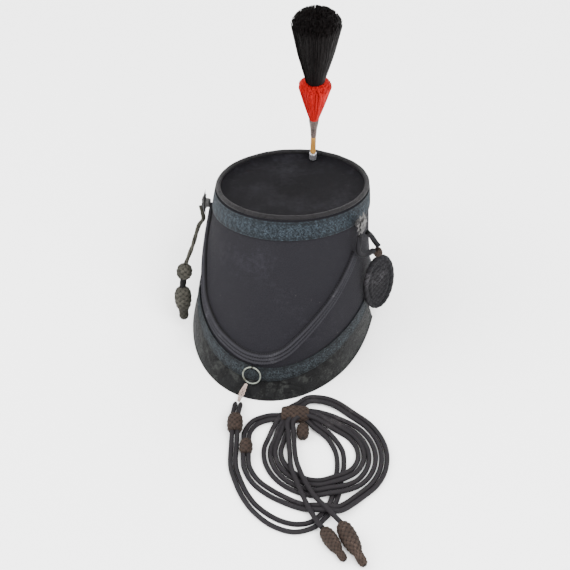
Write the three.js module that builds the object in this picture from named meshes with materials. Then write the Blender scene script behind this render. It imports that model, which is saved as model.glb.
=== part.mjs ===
// Shako: a tapered oval cloth cap with two leather peaks, lace bands, a plaited festoon,
// a hair plume and a doubled cap line that lies coiled on the surface behind it.
// Millimetres, +Z up. The rear of the hat faces -Y and the plume side faces +Y.
import * as THREE from "three";

// ---- driving dimensions -------------------------------------------------------------

// The middle of the hat's own box, in hat axes; the finished group is moved back by it.
const BOX_CENTRE = { x: 8.79, y: 11.25 };

const GAP = 0.35;
const WALL = 3.0;

// Lower edge of the body: an oval whose height above the surface changes round the head.
const BASE = { halfWidth: 81, halfLength: 103.5, zRear: 12, zSide: 32, zFront: 20 };
// Upper edge of the body: a smaller oval, tipped forward and a little to one side.
const CROWN = {
  x: 0, y: 26, z: 143.4, halfWidth: 70, halfLength: 77.5,
  tip: THREE.MathUtils.degToRad(16.9), lean: THREE.MathUtils.degToRad(5.5),
};
const ROUND_STEPS = 64;
const BODY_ROWS = 4;

const RIM = { height: 5.2, width: 5.0, sides: 8 };
const CROWN_DISC = { thickness: 2.4, drop: 4.2, inset: 4.0 };

const LACE = { thickness: 1.3, upperWidth: 20, upperTop: 6.2, lowerWidth: 14.5, lowerStart: 0.5 };

const PEAK = { thickness: 2.2, sole: 3.2, rows: 4, roll: 1.15, flatShare: 0.6 };
const REAR_PEAK = { reach: 14, spread: 5, halfAngle: 92, endLift: 12, steps: 34 };
const FRONT_PEAK = { reach: 36.5, spread: 4, halfAngle: 80, endLift: 13, steps: 30 };

const FESTOON = { width: 10.5, thickness: 3.2, steps: 44 };
// Route of the festoon round the rear: angle from the rear centre and height up the wall.
const FESTOON_ROUTE = [
  { angle: -84, rise: 0.78 }, { angle: -79, rise: 0.64 }, { angle: -72, rise: 0.5 },
  { angle: -63, rise: 0.38 }, { angle: -52, rise: 0.25 }, { angle: -36, rise: 0.185 },
  { angle: -22, rise: 0.165 }, { angle: -7, rise: 0.145 }, { angle: 7, rise: 0.15 },
  { angle: 18, rise: 0.185 }, { angle: 28, rise: 0.255 }, { angle: 38, rise: 0.33 },
  { angle: 51, rise: 0.43 }, { angle: 62, rise: 0.545 }, { angle: 69, rise: 0.63 },
];

const RING = { x: -3, z: 18.6, radius: 8.4, wire: 0.85, standOff: 3.3 };
const EYE = { radius: 1.9, wire: 0.55, standOff: 0.4 };

const BOSS = { radius: 12, lobe: 4.5, lobes: 7, depth: 3.6 };
const BOSS_SPOT = { right: { angle: 68, rise: 0.88 }, left: { angle: -82, rise: 0.8 } };

const PLUME = { x: 2.4, y: 91.5, lean: THREE.MathUtils.degToRad(0.6) };
// Turned outlines of the plume's pieces, from the socket up.
const PLUME_SOCKET = [{ z: 121.8, r: 3.6 }, { z: 129.0, r: 3.6 }];
const PLUME_STEM = [{ z: 129.4, r: 2.6 }, { z: 148.8, r: 2.6 }];
const PLUME_FERRULE = [{ z: 149.2, r: 2.7 }, { z: 158, r: 3.2 }, { z: 170.6, r: 5.0 }];
const PLUME_RED = [{ z: 171, r: 4.8 }, { z: 186, r: 8.5 }, { z: 203, r: 13 }, { z: 219, r: 15.2 }];
const PLUME_BLACK = [
  { z: 219.4, r: 12.5 }, { z: 236, r: 15 }, { z: 256, r: 19 }, { z: 274, r: 21.8 },
  { z: 287, r: 22.2 }, { z: 294, r: 18 }, { z: 297, r: 10 },
];

const CORD_RADIUS = 2.3;
const CORD_SIDES = 8;
const CORD_STEP = 14;

// ---- surfaces -----------------------------------------------------------------------

// A point of the body's outer wall: angle from the rear centre (radians, + to the right),
// rise from the lower edge (0) to the upper edge (1), and distance out from the wall.
function wallPoint(angle, rise, out = 0) {
  const across = Math.sin(angle);
  const back = Math.cos(angle);
  const edge = back >= 0 ? BASE.zRear : BASE.zFront;
  const base = new THREE.Vector3(
    (BASE.halfWidth + out) * across,
    -(BASE.halfLength + out) * back,
    edge + (BASE.zSide - edge) * across * across,
  );
  return base.lerp(crownPoint(angle, 1, 0, out), rise);
}

// A point of the tipped crown plane: share of the way out from its centre to an oval that
// is the crown's own grown by out, and height off the plane.
function crownPoint(angle, share, height, out = 0) {
  const across = (CROWN.halfWidth + out) * share * Math.sin(angle);
  const back = (CROWN.halfLength + out) * share * Math.cos(angle);
  return new THREE.Vector3(
    CROWN.x + across,
    CROWN.y - back * Math.cos(CROWN.tip) + height * Math.sin(CROWN.tip),
    CROWN.z + back * Math.sin(CROWN.tip) + across * Math.tan(CROWN.lean) + height * Math.cos(CROWN.tip),
  );
}

// Length of the wall's slope at an angle, used to turn a height in mm into a rise.
function slopeLength(angle) {
  return wallPoint(angle, 0).distanceTo(wallPoint(angle, 1));
}

// ---- solids -------------------------------------------------------------------------

// A closed wall between an outer and an inner sheet. Each sheet is a function of the place
// along it (0 to 1) and the row (0 to rows); a round wall joins its two ends.
function wallSolid(outer, inner, steps, rows, round) {
  const columns = round ? steps : steps + 1;
  const positions = [];
  for (const sheet of [outer, inner]) {
    for (let i = 0; i < columns; i += 1) {
      for (let j = 0; j <= rows; j += 1) {
        positions.push(...sheet(i / steps, j).toArray());
      }
    }
  }
  const inside = columns * (rows + 1);
  const at = (sheet, i, j) => sheet * inside + (i % columns) * (rows + 1) + j;
  const index = [];
  const quad = (a, b, c, d) => index.push(a, b, c, a, c, d);
  for (let i = 0; i < steps; i += 1) {
    for (let j = 0; j < rows; j += 1) {
      quad(at(0, i, j), at(0, i + 1, j), at(0, i + 1, j + 1), at(0, i, j + 1));
      quad(at(1, i, j), at(1, i, j + 1), at(1, i + 1, j + 1), at(1, i + 1, j));
    }
    quad(at(0, i, 0), at(1, i, 0), at(1, i + 1, 0), at(0, i + 1, 0));
    quad(at(0, i, rows), at(0, i + 1, rows), at(1, i + 1, rows), at(1, i, rows));
  }
  if (!round) {
    for (let j = 0; j < rows; j += 1) {
      quad(at(0, 0, j), at(0, 0, j + 1), at(1, 0, j + 1), at(1, 0, j));
      quad(at(0, steps, j), at(1, steps, j), at(1, steps, j + 1), at(0, steps, j + 1));
    }
  }
  const geometry = new THREE.BufferGeometry();
  geometry.setAttribute("position", new THREE.Float32BufferAttribute(positions, 3));
  geometry.setIndex(index);
  geometry.computeVertexNormals();
  return geometry;
}

// Moves every vertex of a turned shape made about +Z: x and y are shares of the crown oval.
function ontoCrown(geometry) {
  const place = geometry.attributes.position;
  for (let i = 0; i < place.count; i += 1) {
    const share = Math.hypot(place.getX(i), place.getZ(i));
    const angle = Math.atan2(place.getX(i), place.getZ(i));
    const point = crownPoint(angle, share, place.getY(i));
    place.setXYZ(i, point.x, point.y, point.z);
  }
  geometry.computeVertexNormals();
  return geometry;
}

// A turned solid about the line from start to end, from rows of {along, r} (along 0 to 1).
function turned(start, end, outline, sides) {
  const length = start.distanceTo(end);
  const points = [new THREE.Vector2(0, outline[0].along * length)];
  for (const row of outline) {
    points.push(new THREE.Vector2(row.r, row.along * length));
  }
  points.push(new THREE.Vector2(0, outline[outline.length - 1].along * length));
  const geometry = new THREE.LatheGeometry(points, sides);
  const turn = new THREE.Quaternion().setFromUnitVectors(
    new THREE.Vector3(0, 1, 0),
    end.clone().sub(start).normalize(),
  );
  geometry.applyQuaternion(turn);
  geometry.translate(start.x, start.y, start.z);
  return geometry;
}

// A knot or bead outline: round in the middle and flat at both ends.
function beadOutline(radius, endRadius, rings = 7) {
  const rows = [];
  for (let i = 0; i < rings; i += 1) {
    const along = i / (rings - 1);
    const swell = Math.sqrt(1 - (2 * along - 1) ** 2);
    rows.push({ along, r: endRadius + (radius - endRadius) * swell });
  }
  return rows;
}

// An acorn outline: a round shoulder that draws in to a blunt tip.
function acornOutline(radius, tipRadius) {
  return [
    { along: 0, r: 0.42 * radius }, { along: 0.1, r: 0.78 * radius }, { along: 0.25, r: radius },
    { along: 0.42, r: 0.97 * radius }, { along: 0.68, r: 0.72 * radius },
    { along: 0.88, r: tipRadius }, { along: 1, r: 0.8 * tipRadius },
  ];
}

function vector(point) {
  return new THREE.Vector3(point.x, point.y, point.z);
}

// A round tube along a smooth curve through the points.
function tube(points, radius, sides = CORD_SIDES, step = CORD_STEP) {
  const path = new THREE.CatmullRomCurve3(points.map(vector), false, "centripetal");
  const section = new THREE.Shape();
  for (let i = 0; i < sides; i += 1) {
    const turn = (2 * Math.PI * (i + 0.5)) / sides;
    const corner = [radius * Math.cos(turn), radius * Math.sin(turn)];
    if (i === 0) {
      section.moveTo(...corner);
    } else {
      section.lineTo(...corner);
    }
  }
  section.closePath();
  const steps = Math.max(2, Math.ceil(path.getLength() / step));
  return new THREE.ExtrudeGeometry(section, { steps, extrudePath: path, bevelEnabled: false });
}

// One strand of a pair: each row is moved to one side (+1 left, -1 right) by its spread.
function strand(rows, side) {
  const middle = new THREE.CatmullRomCurve3(rows.map(vector), false, "centripetal");
  return rows.map((row, i) => {
    const heading = middle.getTangent(i / (rows.length - 1));
    const flat = new THREE.Vector3(-heading.y, heading.x, 0).normalize();
    return vector(row).addScaledVector(flat, side * row.spread);
  });
}

// ---- materials ----------------------------------------------------------------------

function finish(color, roughness, metalness = 0) {
  return new THREE.MeshStandardMaterial({ color, roughness, metalness });
}

const bodyCloth = () => finish(0x35343a, 0.95);
const bindingLeather = () => finish(0x3c393d, 0.6);
const peakLeather = () => finish(0x2b2d2e, 0.5);
const laceBraid = () => finish(0x33454f, 0.8);
const plaitCord = () => finish(0x33323a, 0.85);
const lineCord = () => finish(0x3f3b40, 0.8);
const knotCord = () => finish(0x5a463b, 0.85);
const oldCord = () => finish(0x5f5b52, 0.9);

// ---- the hat ------------------------------------------------------------------------

const shako = new THREE.Group();
const hat = new THREE.Group();
shako.add(hat);
hat.position.set(-BOX_CENTRE.x, -BOX_CENTRE.y, 0);

function add(name, geometry, material) {
  const mesh = new THREE.Mesh(geometry, material);
  mesh.name = name;
  hat.add(mesh);
}

function fullTurn(share) {
  return 2 * Math.PI * share;
}

// Body: an open tapered tube, the same thickness all round.
function bodyShell() {
  return wallSolid(
    (share, row) => wallPoint(fullTurn(share), row / BODY_ROWS),
    (share, row) => wallPoint(fullTurn(share), row / BODY_ROWS, -WALL),
    ROUND_STEPS, BODY_ROWS, true,
  );
}

// Crown disc: set down inside the upper edge, clear of the body's wall.
function crownDisc() {
  const edge = 1 - CROWN_DISC.inset / CROWN.halfWidth;
  const outline = [
    new THREE.Vector2(0, -CROWN_DISC.drop - CROWN_DISC.thickness),
    new THREE.Vector2(edge, -CROWN_DISC.drop - CROWN_DISC.thickness),
    new THREE.Vector2(edge, -CROWN_DISC.drop),
    new THREE.Vector2(0, -CROWN_DISC.drop),
  ];
  return ontoCrown(new THREE.LatheGeometry(outline, ROUND_STEPS));
}

// Rim: the leather binding, a flattened roll that stands on the body's upper edge.
function crownRim() {
  const outline = [];
  for (let i = 0; i <= RIM.sides; i += 1) {
    const turn = (2 * Math.PI * i) / RIM.sides - Math.PI / 2;
    const out = 1 + (0.5 * RIM.width * Math.cos(turn) - 1.2) / CROWN.halfWidth;
    outline.push(new THREE.Vector2(out, 0.5 * RIM.height * (1 + Math.sin(turn)) + GAP));
  }
  return ontoCrown(new THREE.LatheGeometry(outline, ROUND_STEPS));
}

// Lace: a thin band that follows the wall between two heights.
function laceBand(lowRise, highRise, rows) {
  const rise = (angle, row) => {
    const low = lowRise(angle);
    return low + ((highRise(angle) - low) * row) / rows;
  };
  return wallSolid(
    (share, row) => wallPoint(fullTurn(share), rise(fullTurn(share), row), GAP + LACE.thickness),
    (share, row) => wallPoint(fullTurn(share), rise(fullTurn(share), row), GAP),
    ROUND_STEPS, rows, true,
  );
}

function upperLace() {
  const high = (angle) => 1 - LACE.upperTop / 2 / slopeLength(angle);
  return laceBand((angle) => high(angle) - LACE.upperWidth / slopeLength(angle), high, 2);
}

function lowerLace() {
  const low = (angle) => LACE.lowerStart / slopeLength(angle);
  return laceBand(low, (angle) => low(angle) + LACE.lowerWidth / slopeLength(angle), 2);
}

// Peak: a crescent of leather that slopes from the body's lower edge down to the surface,
// where its edge is a flat sole. Its ends rise clear of the surface.
// facing is 0 for the rear peak and half a turn for the front one.
function peak(size, facing) {
  const half = THREE.MathUtils.degToRad(size.halfAngle);
  const sheet = (share, row, lower) => {
    const aside = Math.abs(2 * share - 1);
    const angle = facing + (2 * share - 1) * half;
    const inner = wallPoint(angle, 0);
    inner.z -= GAP;
    const outer = new THREE.Vector3(
      Math.sin(angle) * (size.spread + BASE.halfWidth),
      -Math.cos(angle) * (size.reach + BASE.halfLength),
      size.endLift * (Math.max(0, aside - PEAK.flatShare) / (1 - PEAK.flatShare)) ** 2,
    );
    const inward = new THREE.Vector3(-Math.sin(angle), Math.cos(angle), 0);
    if (lower && row >= PEAK.rows - 1) {
      return outer.addScaledVector(inward, row === PEAK.rows ? 0 : PEAK.sole);
    }
    const along = row / PEAK.rows;
    const point = inner.clone().lerp(outer, along);
    point.z = inner.z + (outer.z + PEAK.thickness - inner.z) * along ** PEAK.roll;
    if (lower) {
      point.z -= PEAK.thickness;
      point.addScaledVector(inward, PEAK.thickness);
    }
    return point;
  };
  return wallSolid(
    (share, row) => sheet(share, PEAK.rows - row, false),
    (share, row) => sheet(share, PEAK.rows - row, true),
    size.steps, PEAK.rows, false,
  );
}

// Festoon: a flat plait that hangs in a curve across the rear, from side to side.
function festoonPlait() {
  const route = new THREE.CatmullRomCurve3(
    FESTOON_ROUTE.map((row) => new THREE.Vector3(row.angle, row.rise * 100, 0)),
    false,
    "centripetal",
  );
  const rows = 2;
  const near = GAP + LACE.thickness + GAP;
  const sheet = (share, row, out) => {
    const spot = route.getPointAt(share);
    const ahead = route.getTangentAt(share);
    const angle = THREE.MathUtils.degToRad(spot.x);
    const length = slopeLength(angle);
    const perDegree = THREE.MathUtils.degToRad(Math.hypot(
      BASE.halfWidth * Math.cos(angle), BASE.halfLength * Math.sin(angle)));
    const heading = new THREE.Vector2(ahead.x * perDegree, (ahead.y / 100) * length).normalize();
    const shift = FESTOON.width * (row / rows - 0.5);
    return wallPoint(
      angle - THREE.MathUtils.degToRad((heading.y * shift) / perDegree),
      spot.y / 100 + (heading.x * shift) / length,
      out,
    );
  };
  return wallSolid(
    (share, row) => sheet(share, row, near + FESTOON.thickness),
    (share, row) => sheet(share, row, near),
    FESTOON.steps, rows, false,
  );
}

// Side boss: a lobed leaf shape that stands off the upper lace.
function sideBoss(at) {
  const outline = new THREE.Shape();
  const corners = 4 * BOSS.lobes;
  for (let i = 0; i < corners; i += 1) {
    const turn = (2 * Math.PI * i) / corners;
    const reach = BOSS.radius - BOSS.lobe * (0.5 + 0.5 * Math.cos(BOSS.lobes * turn));
    const corner = [0.72 * reach * Math.sin(turn), 1.25 * reach * Math.cos(turn)];
    if (i === 0) {
      outline.moveTo(...corner);
    } else {
      outline.lineTo(...corner);
    }
  }
  outline.closePath();
  const geometry = new THREE.ExtrudeGeometry(outline, { depth: BOSS.depth, bevelEnabled: false });
  const angle = THREE.MathUtils.degToRad(at.angle);
  geometry.rotateX(Math.PI / 2);
  geometry.rotateZ(angle);
  const spot = wallPoint(angle, at.rise, GAP + LACE.thickness + BOSS.depth + 2.2);
  geometry.translate(spot.x, spot.y, spot.z);
  return geometry;
}

add("body", bodyShell(), bodyCloth());
add("crown_top", crownDisc(), bodyCloth());
add("crown_rim", crownRim(), bindingLeather());
add("upper_lace_band", upperLace(), laceBraid());
add("lower_lace_band", lowerLace(), laceBraid());
add("rear_peak", peak(REAR_PEAK, 0), peakLeather());
add("front_peak", peak(FRONT_PEAK, Math.PI), peakLeather());
add("festoon", festoonPlait(), plaitCord());
add("right_boss", sideBoss(BOSS_SPOT.right), finish(0x6c6a68, 0.5, 0.6));
add("left_boss", sideBoss(BOSS_SPOT.left), finish(0x6c6a68, 0.5, 0.6));

// ---- the ring at the rear -----------------------------------------------------------

function rearRing() {
  const geometry = new THREE.TorusGeometry(RING.radius, RING.wire, 8, 32);
  const slope = wallPoint(0, 1).sub(wallPoint(0, 0)).normalize();
  geometry.rotateX(Math.PI / 2 - Math.atan2(slope.y, slope.z));
  const rise = (RING.z - BASE.zRear) / (wallPoint(0, 1).z - BASE.zRear);
  const spot = wallPoint(0, rise, RING.standOff + RING.wire);
  geometry.translate(RING.x, spot.y, spot.z);
  return { geometry, spot, slope };
}

const ring = rearRing();
add("rear_ring", ring.geometry, finish(0xb8bcb4, 0.3, 1));

function ringEye() {
  const geometry = new THREE.TorusGeometry(EYE.radius, EYE.wire, 6, 16);
  geometry.rotateY(Math.PI / 2);
  const top = ring.spot.clone().addScaledVector(ring.slope, RING.radius);
  geometry.translate(RING.x, top.y - EYE.standOff, top.z);
  return geometry;
}

add("ring_eye", ringEye(), finish(0x3a3636, 0.6));

// ---- the plume ----------------------------------------------------------------------

function plumePiece(rows, sides) {
  const low = rows[0].z;
  const high = rows[rows.length - 1].z;
  const place = (z) => new THREE.Vector3(PLUME.x + (z - 121) * Math.tan(PLUME.lean), PLUME.y, z);
  const outline = rows.map((row) => ({ along: (row.z - low) / (high - low), r: row.r }));
  return turned(place(low), place(high), outline, sides);
}

add("plume_socket", plumePiece(PLUME_SOCKET, 16), finish(0xd2d0d7, 0.35, 0.9));
add("plume_stem", plumePiece(PLUME_STEM, 16), finish(0xd7a04e, 0.45));
add("plume_ferrule", plumePiece(PLUME_FERRULE, 16), finish(0x786964, 0.5, 0.5));
add("plume_red_hair", plumePiece(PLUME_RED, 28), finish(0xd72d28, 0.7));
add("plume_black_hair", plumePiece(PLUME_BLACK, 28), finish(0x1e1919, 0.7));

// ---- the drops at the sides ---------------------------------------------------------

// Left drop: a cord from the boss with a small button, a turk's head knot and an acorn.
const LEFT_DROP_CORD = [
  { x: -81, y: 3, z: 101 }, { x: -84.5, y: 0, z: 95 }, { x: -86, y: -5, z: 88 },
  { x: -87.5, y: -12, z: 79 }, { x: -89.5, y: -20, z: 71 }, { x: -91, y: -26, z: 65.5 },
];
const LEFT_KNOT = [{ x: -91, y: -27, z: 65 }, { x: -91.5, y: -32, z: 53 }];
const LEFT_LINK = [{ x: -91.5, y: -32.3, z: 52.4 }, { x: -91.5, y: -37, z: 44.4 }];
const LEFT_ACORN = [{ x: -91.5, y: -37.4, z: 43.8 }, { x: -87, y: -48, z: 14.5 }];

add("left_drop_cord", tube(LEFT_DROP_CORD, 2.1, 8, 12), oldCord());
add("left_knot", turned(vector(LEFT_KNOT[0]), vector(LEFT_KNOT[1]), beadOutline(6.3, 2.6), 14), oldCord());
add("left_link", tube(LEFT_LINK, 3.4, 8, 6), plaitCord());
add("left_acorn", turned(vector(LEFT_ACORN[0]), vector(LEFT_ACORN[1]), acornOutline(6.6, 2.4), 14), oldCord());

// Right drop: cords looped over the boss, a collar, and an oval flounder below it.
const RIGHT_LOOP = [
  { x: 74.5, y: -14.5, z: 133 }, { x: 75, y: -21, z: 121 }, { x: 79.5, y: -17, z: 113.5 },
  { x: 86.6, y: -7.4, z: 111.6 },
];
const RIGHT_CORD = [
  { x: 78.6, y: -1.4, z: 127.5 }, { x: 82.5, y: 1.6, z: 119 }, { x: 89.4, y: -0.4, z: 111.4 },
];
const RIGHT_COLLAR = [{ x: 88.4, y: -4, z: 110 }, { x: 90.6, y: -3.6, z: 104.4 }];
const FLOUNDER = { x: 92, y: -3.5, z: 69, halfWidth: 15, halfHeight: 34.5, thickness: 5.4, turn: 40 };

function flounder() {
  const outline = new THREE.Shape();
  outline.absellipse(0, 0, FLOUNDER.halfWidth, FLOUNDER.halfHeight, 0, 2 * Math.PI, false, 0);
  const geometry = new THREE.ExtrudeGeometry(outline, {
    depth: FLOUNDER.thickness, bevelEnabled: false, curveSegments: 28,
  });
  geometry.translate(0, 0, -FLOUNDER.thickness / 2);
  geometry.rotateX(Math.PI / 2);
  geometry.rotateZ(THREE.MathUtils.degToRad(FLOUNDER.turn));
  geometry.translate(FLOUNDER.x, FLOUNDER.y, FLOUNDER.z);
  return geometry;
}

add("right_loop", tube(RIGHT_LOOP, 2.8, 8, 8), plaitCord());
add("right_cord", tube(RIGHT_CORD, 2.6, 8, 8), plaitCord());
add("right_collar", turned(vector(RIGHT_COLLAR[0]), vector(RIGHT_COLLAR[1]), beadOutline(4.6, 3.6, 5), 12), knotCord());
add("right_flounder", flounder(), plaitCord());

// ---- the cap line -------------------------------------------------------------------

// The doubled line: rows give the middle of the pair and how far each strand is from it.
// It starts in a worn loop at the ring, behind the rear peak.
const WORN_LOOP = [
  { x: -6.6, y: -111, z: 11 }, { x: -7.7, y: -114.5, z: 8.8 }, { x: -8.7, y: -118.5, z: 6.2 },
  { x: -9.5, y: -122.5, z: 3.8 }, { x: -9.8, y: -126, z: 2.6 },
];
const LINE_START = [
  { x: -9.7, y: -127, z: 2.6, spread: 2.5 }, { x: -8.6, y: -136, z: 4.2, spread: 2.4 },
  { x: -6.8, y: -146, z: 7.4, spread: 2.4 },
];
const SLIDER_ONE = [{ x: -6.5, y: -147, z: 7.8 }, { x: -1.7, y: -165, z: 7.8 }];
const LINE_LEAD = [
  { x: -1.4, y: -166.2, z: 7.4, spread: 2.4 }, { x: 0.8, y: -176, z: 3.4, spread: 2.4 },
  { x: 7, y: -199, z: 2.3, spread: 2.4 }, { x: 17, y: -216, z: 2.3, spread: 2.5 },
  { x: 28, y: -230, z: 2.3, spread: 2.7 }, { x: 41, y: -241, z: 2.3, spread: 3.2 },
  { x: 59, y: -249.5, z: 2.3, spread: 4.0 }, { x: 77, y: -251, z: 2.3, spread: 4.2 },
  { x: 91, y: -244, z: 2.3, spread: 3.2 }, { x: 99, y: -231.5, z: 2.3, spread: 2.6 },
  { x: 102.5, y: -220.5, z: 2.3, spread: 2.5 },
];
const LINE_INNER = [
  { x: 101, y: -184, z: 2.3, spread: 2.6 }, { x: 99.5, y: -173, z: 2.3, spread: 3.0 },
  { x: 94, y: -158, z: 2.3, spread: 3.2 }, { x: 82, y: -145, z: 3.2, spread: 2.6 },
  { x: 68, y: -138, z: 5.2, spread: 2.4 },
];
const LINE_TURN = [
  { x: 31.5, y: -136.5, z: 5.4, spread: 2.4 }, { x: 22, y: -138, z: 3.0, spread: 2.6 },
  { x: 12, y: -146, z: 2.3, spread: 2.8 }, { x: 8.4, y: -158, z: 2.3, spread: 2.5 },
  { x: 10.6, y: -170, z: 4.2, spread: 2.4 },
];
const KNOT_TWO = [{ x: 10.9, y: -171, z: 5 }, { x: 14.8, y: -185, z: 5 }];
const LINE_SWEEP = [
  { x: 15, y: -186, z: 4.4, spread: 2.4 }, { x: 19.5, y: -198, z: 2.3, spread: 2.5 },
  { x: 31, y: -211, z: 2.3, spread: 2.9 }, { x: 47, y: -219.5, z: 2.3, spread: 3.2 },
  { x: 66, y: -225, z: 2.3, spread: 2.8 }, { x: 80, y: -227, z: 2.8, spread: 2.5 },
  { x: 90, y: -227, z: 5.8, spread: 2.5 }, { x: 99, y: -226, z: 7.5, spread: 2.5 },
  { x: 112, y: -222.5, z: 6.4, spread: 2.5 },
];
const LINE_RETURN = [
  { x: 79, y: -107, z: 4.8, spread: 2.5 }, { x: 66, y: -104.5, z: 4.4, spread: 2.5 },
  { x: 53, y: -108, z: 5.2, spread: 2.4 }, { x: 46.5, y: -118, z: 6.6, spread: 2.4 },
];
const SLIDER_TWO = [{ x: 33.6, y: -134.5, z: 8.4 }, { x: 58.6, y: -128.2, z: 8.4 }];
const KNOT_THREE = [{ x: 56.2, y: -141.4, z: 5 }, { x: 59.6, y: -153.8, z: 5 }];
const LINE_TAIL_A = [
  { x: 42.2, y: -143.2, z: 5.2 }, { x: 46.2, y: -155, z: 3.6 }, { x: 50, y: -167, z: 7.4 },
  { x: 53.8, y: -178, z: 12.3 }, { x: 58.6, y: -191, z: 12.6 }, { x: 66.5, y: -203.5, z: 12.6 },
  { x: 76, y: -217.5, z: 12.6 }, { x: 84.5, y: -229, z: 10 }, { x: 94, y: -240.4, z: 8 },
  { x: 102.2, y: -248.4, z: 8.2 },
];
const LINE_TAIL_B = [
  { x: 47, y: -142.6, z: 5.2 }, { x: 51, y: -154, z: 3.2 }, { x: 55, y: -167, z: 6.6 },
  { x: 59.6, y: -179.4, z: 11.6 }, { x: 65.4, y: -190, z: 12.6 }, { x: 75, y: -203.4, z: 12.8 },
  { x: 87, y: -216.5, z: 12.9 }, { x: 99.5, y: -227.4, z: 12.9 }, { x: 108.4, y: -234, z: 10.8 },
  { x: 115.6, y: -239, z: 9.4 },
];
const ACORN_A = [{ x: 102.7, y: -248.8, z: 8.2 }, { x: 128.6, y: -273.8, z: 4.8 }];
const ACORN_B = [{ x: 116.2, y: -239.5, z: 9.4 }, { x: 146, y: -274.8, z: 5.2 }];

// The coil: several turns bound by the second slider, as one flat open ring.
const COIL = {
  height: 9.6, start: 162, end: 452, steps: 40,
  outer: { x: 83.5, y: -166, halfX: 58, halfY: 51.5 },
  inner: { x: 78, y: -165.5, halfX: 36.5, halfY: 32.5 },
};

function coilSolid() {
  const rows = 2;
  const sheet = (oval) => (share, row) => {
    const turn = THREE.MathUtils.degToRad(COIL.start + (COIL.end - COIL.start) * share);
    const round = row === 1 ? 0 : -1.6;
    const sign = oval === COIL.outer ? 1 : -1;
    return new THREE.Vector3(
      oval.x + (oval.halfX + sign * round) * Math.cos(turn),
      oval.y + (oval.halfY + sign * round) * Math.sin(turn),
      (COIL.height * row) / rows,
    );
  };
  return wallSolid(sheet(COIL.outer), sheet(COIL.inner), COIL.steps, rows, false);
}

function addPair(name, rows) {
  add(`${name}_a`, tube(strand(rows, 1), CORD_RADIUS), lineCord());
  add(`${name}_b`, tube(strand(rows, -1), CORD_RADIUS), lineCord());
}

function addKnot(name, ends, radius, endRadius) {
  add(name, turned(vector(ends[0]), vector(ends[1]), beadOutline(radius, endRadius), 16), knotCord());
}

add("worn_loop", tube(WORN_LOOP, 1.5, 8, 5), finish(0xd7beb4, 0.9));
addPair("line_start", LINE_START);
addKnot("slider_one", SLIDER_ONE, 7.6, 5.2);
addPair("line_lead", LINE_LEAD);
addPair("line_inner", LINE_INNER);
addPair("line_turn", LINE_TURN);
addKnot("knot_two", KNOT_TWO, 4.8, 4.0);
addPair("line_sweep", LINE_SWEEP);
add("line_coil", coilSolid(), lineCord());
addPair("line_return", LINE_RETURN);
addKnot("slider_two", SLIDER_TWO, 8.2, 5.8);
addKnot("knot_three", KNOT_THREE, 4.8, 3.6);
add("line_tail_a", tube(LINE_TAIL_A, CORD_RADIUS), lineCord());
add("line_tail_b", tube(LINE_TAIL_B, CORD_RADIUS), lineCord());
add("acorn_a", turned(vector(ACORN_A[0]), vector(ACORN_A[1]), acornOutline(6.5, 3), 16), knotCord());
add("acorn_b", turned(vector(ACORN_B[0]), vector(ACORN_B[1]), acornOutline(7.4, 3.4), 16), knotCord());

export default shako;
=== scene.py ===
import sys
import logging
import math
from dataclasses import dataclass
from enum import Enum
from typing import Callable, Optional, Sequence, Union

import bmesh
import bpy
import numpy as np
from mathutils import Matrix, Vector


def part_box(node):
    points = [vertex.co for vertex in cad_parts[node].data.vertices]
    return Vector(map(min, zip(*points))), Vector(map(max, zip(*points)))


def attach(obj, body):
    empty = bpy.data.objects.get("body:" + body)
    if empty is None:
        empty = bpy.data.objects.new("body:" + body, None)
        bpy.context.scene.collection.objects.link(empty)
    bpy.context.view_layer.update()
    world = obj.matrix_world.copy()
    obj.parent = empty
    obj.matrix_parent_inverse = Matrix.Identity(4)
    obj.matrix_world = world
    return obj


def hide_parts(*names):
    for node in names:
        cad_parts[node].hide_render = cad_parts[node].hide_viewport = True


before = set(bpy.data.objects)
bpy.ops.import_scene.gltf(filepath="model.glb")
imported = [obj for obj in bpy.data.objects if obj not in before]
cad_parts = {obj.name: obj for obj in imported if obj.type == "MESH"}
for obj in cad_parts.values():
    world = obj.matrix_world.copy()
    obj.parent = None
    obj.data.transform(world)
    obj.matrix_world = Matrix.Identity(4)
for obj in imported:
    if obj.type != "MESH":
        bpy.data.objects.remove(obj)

LOG = logging.getLogger("shako")
MM = 0.001
# The frame's origin is the middle of the whole row's box, this far from the middle of the hat.
HAT_SHIFT = np.array([8.79, 11.25, 0.0])
BODY = "root"

Value = Union[float, Sequence[float], bpy.types.NodeSocket]


def place(points: np.ndarray) -> np.ndarray:
    """Turn hat millimetres into frame metres.

    Args:
        points: Any array whose last axis is x, y, z in millimetres about the hat's base.

    Returns:
        The same array in metres, in the frame.
    """
    return (np.asarray(points, dtype=float) - HAT_SHIFT) * MM


def unit(vectors: np.ndarray) -> np.ndarray:
    """Scale vectors to length one.

    Args:
        vectors: Array of vectors along the last axis.

    Returns:
        The unit vectors.
    """
    return vectors / np.maximum(np.linalg.norm(vectors, axis=-1, keepdims=True), 1e-9)


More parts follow.
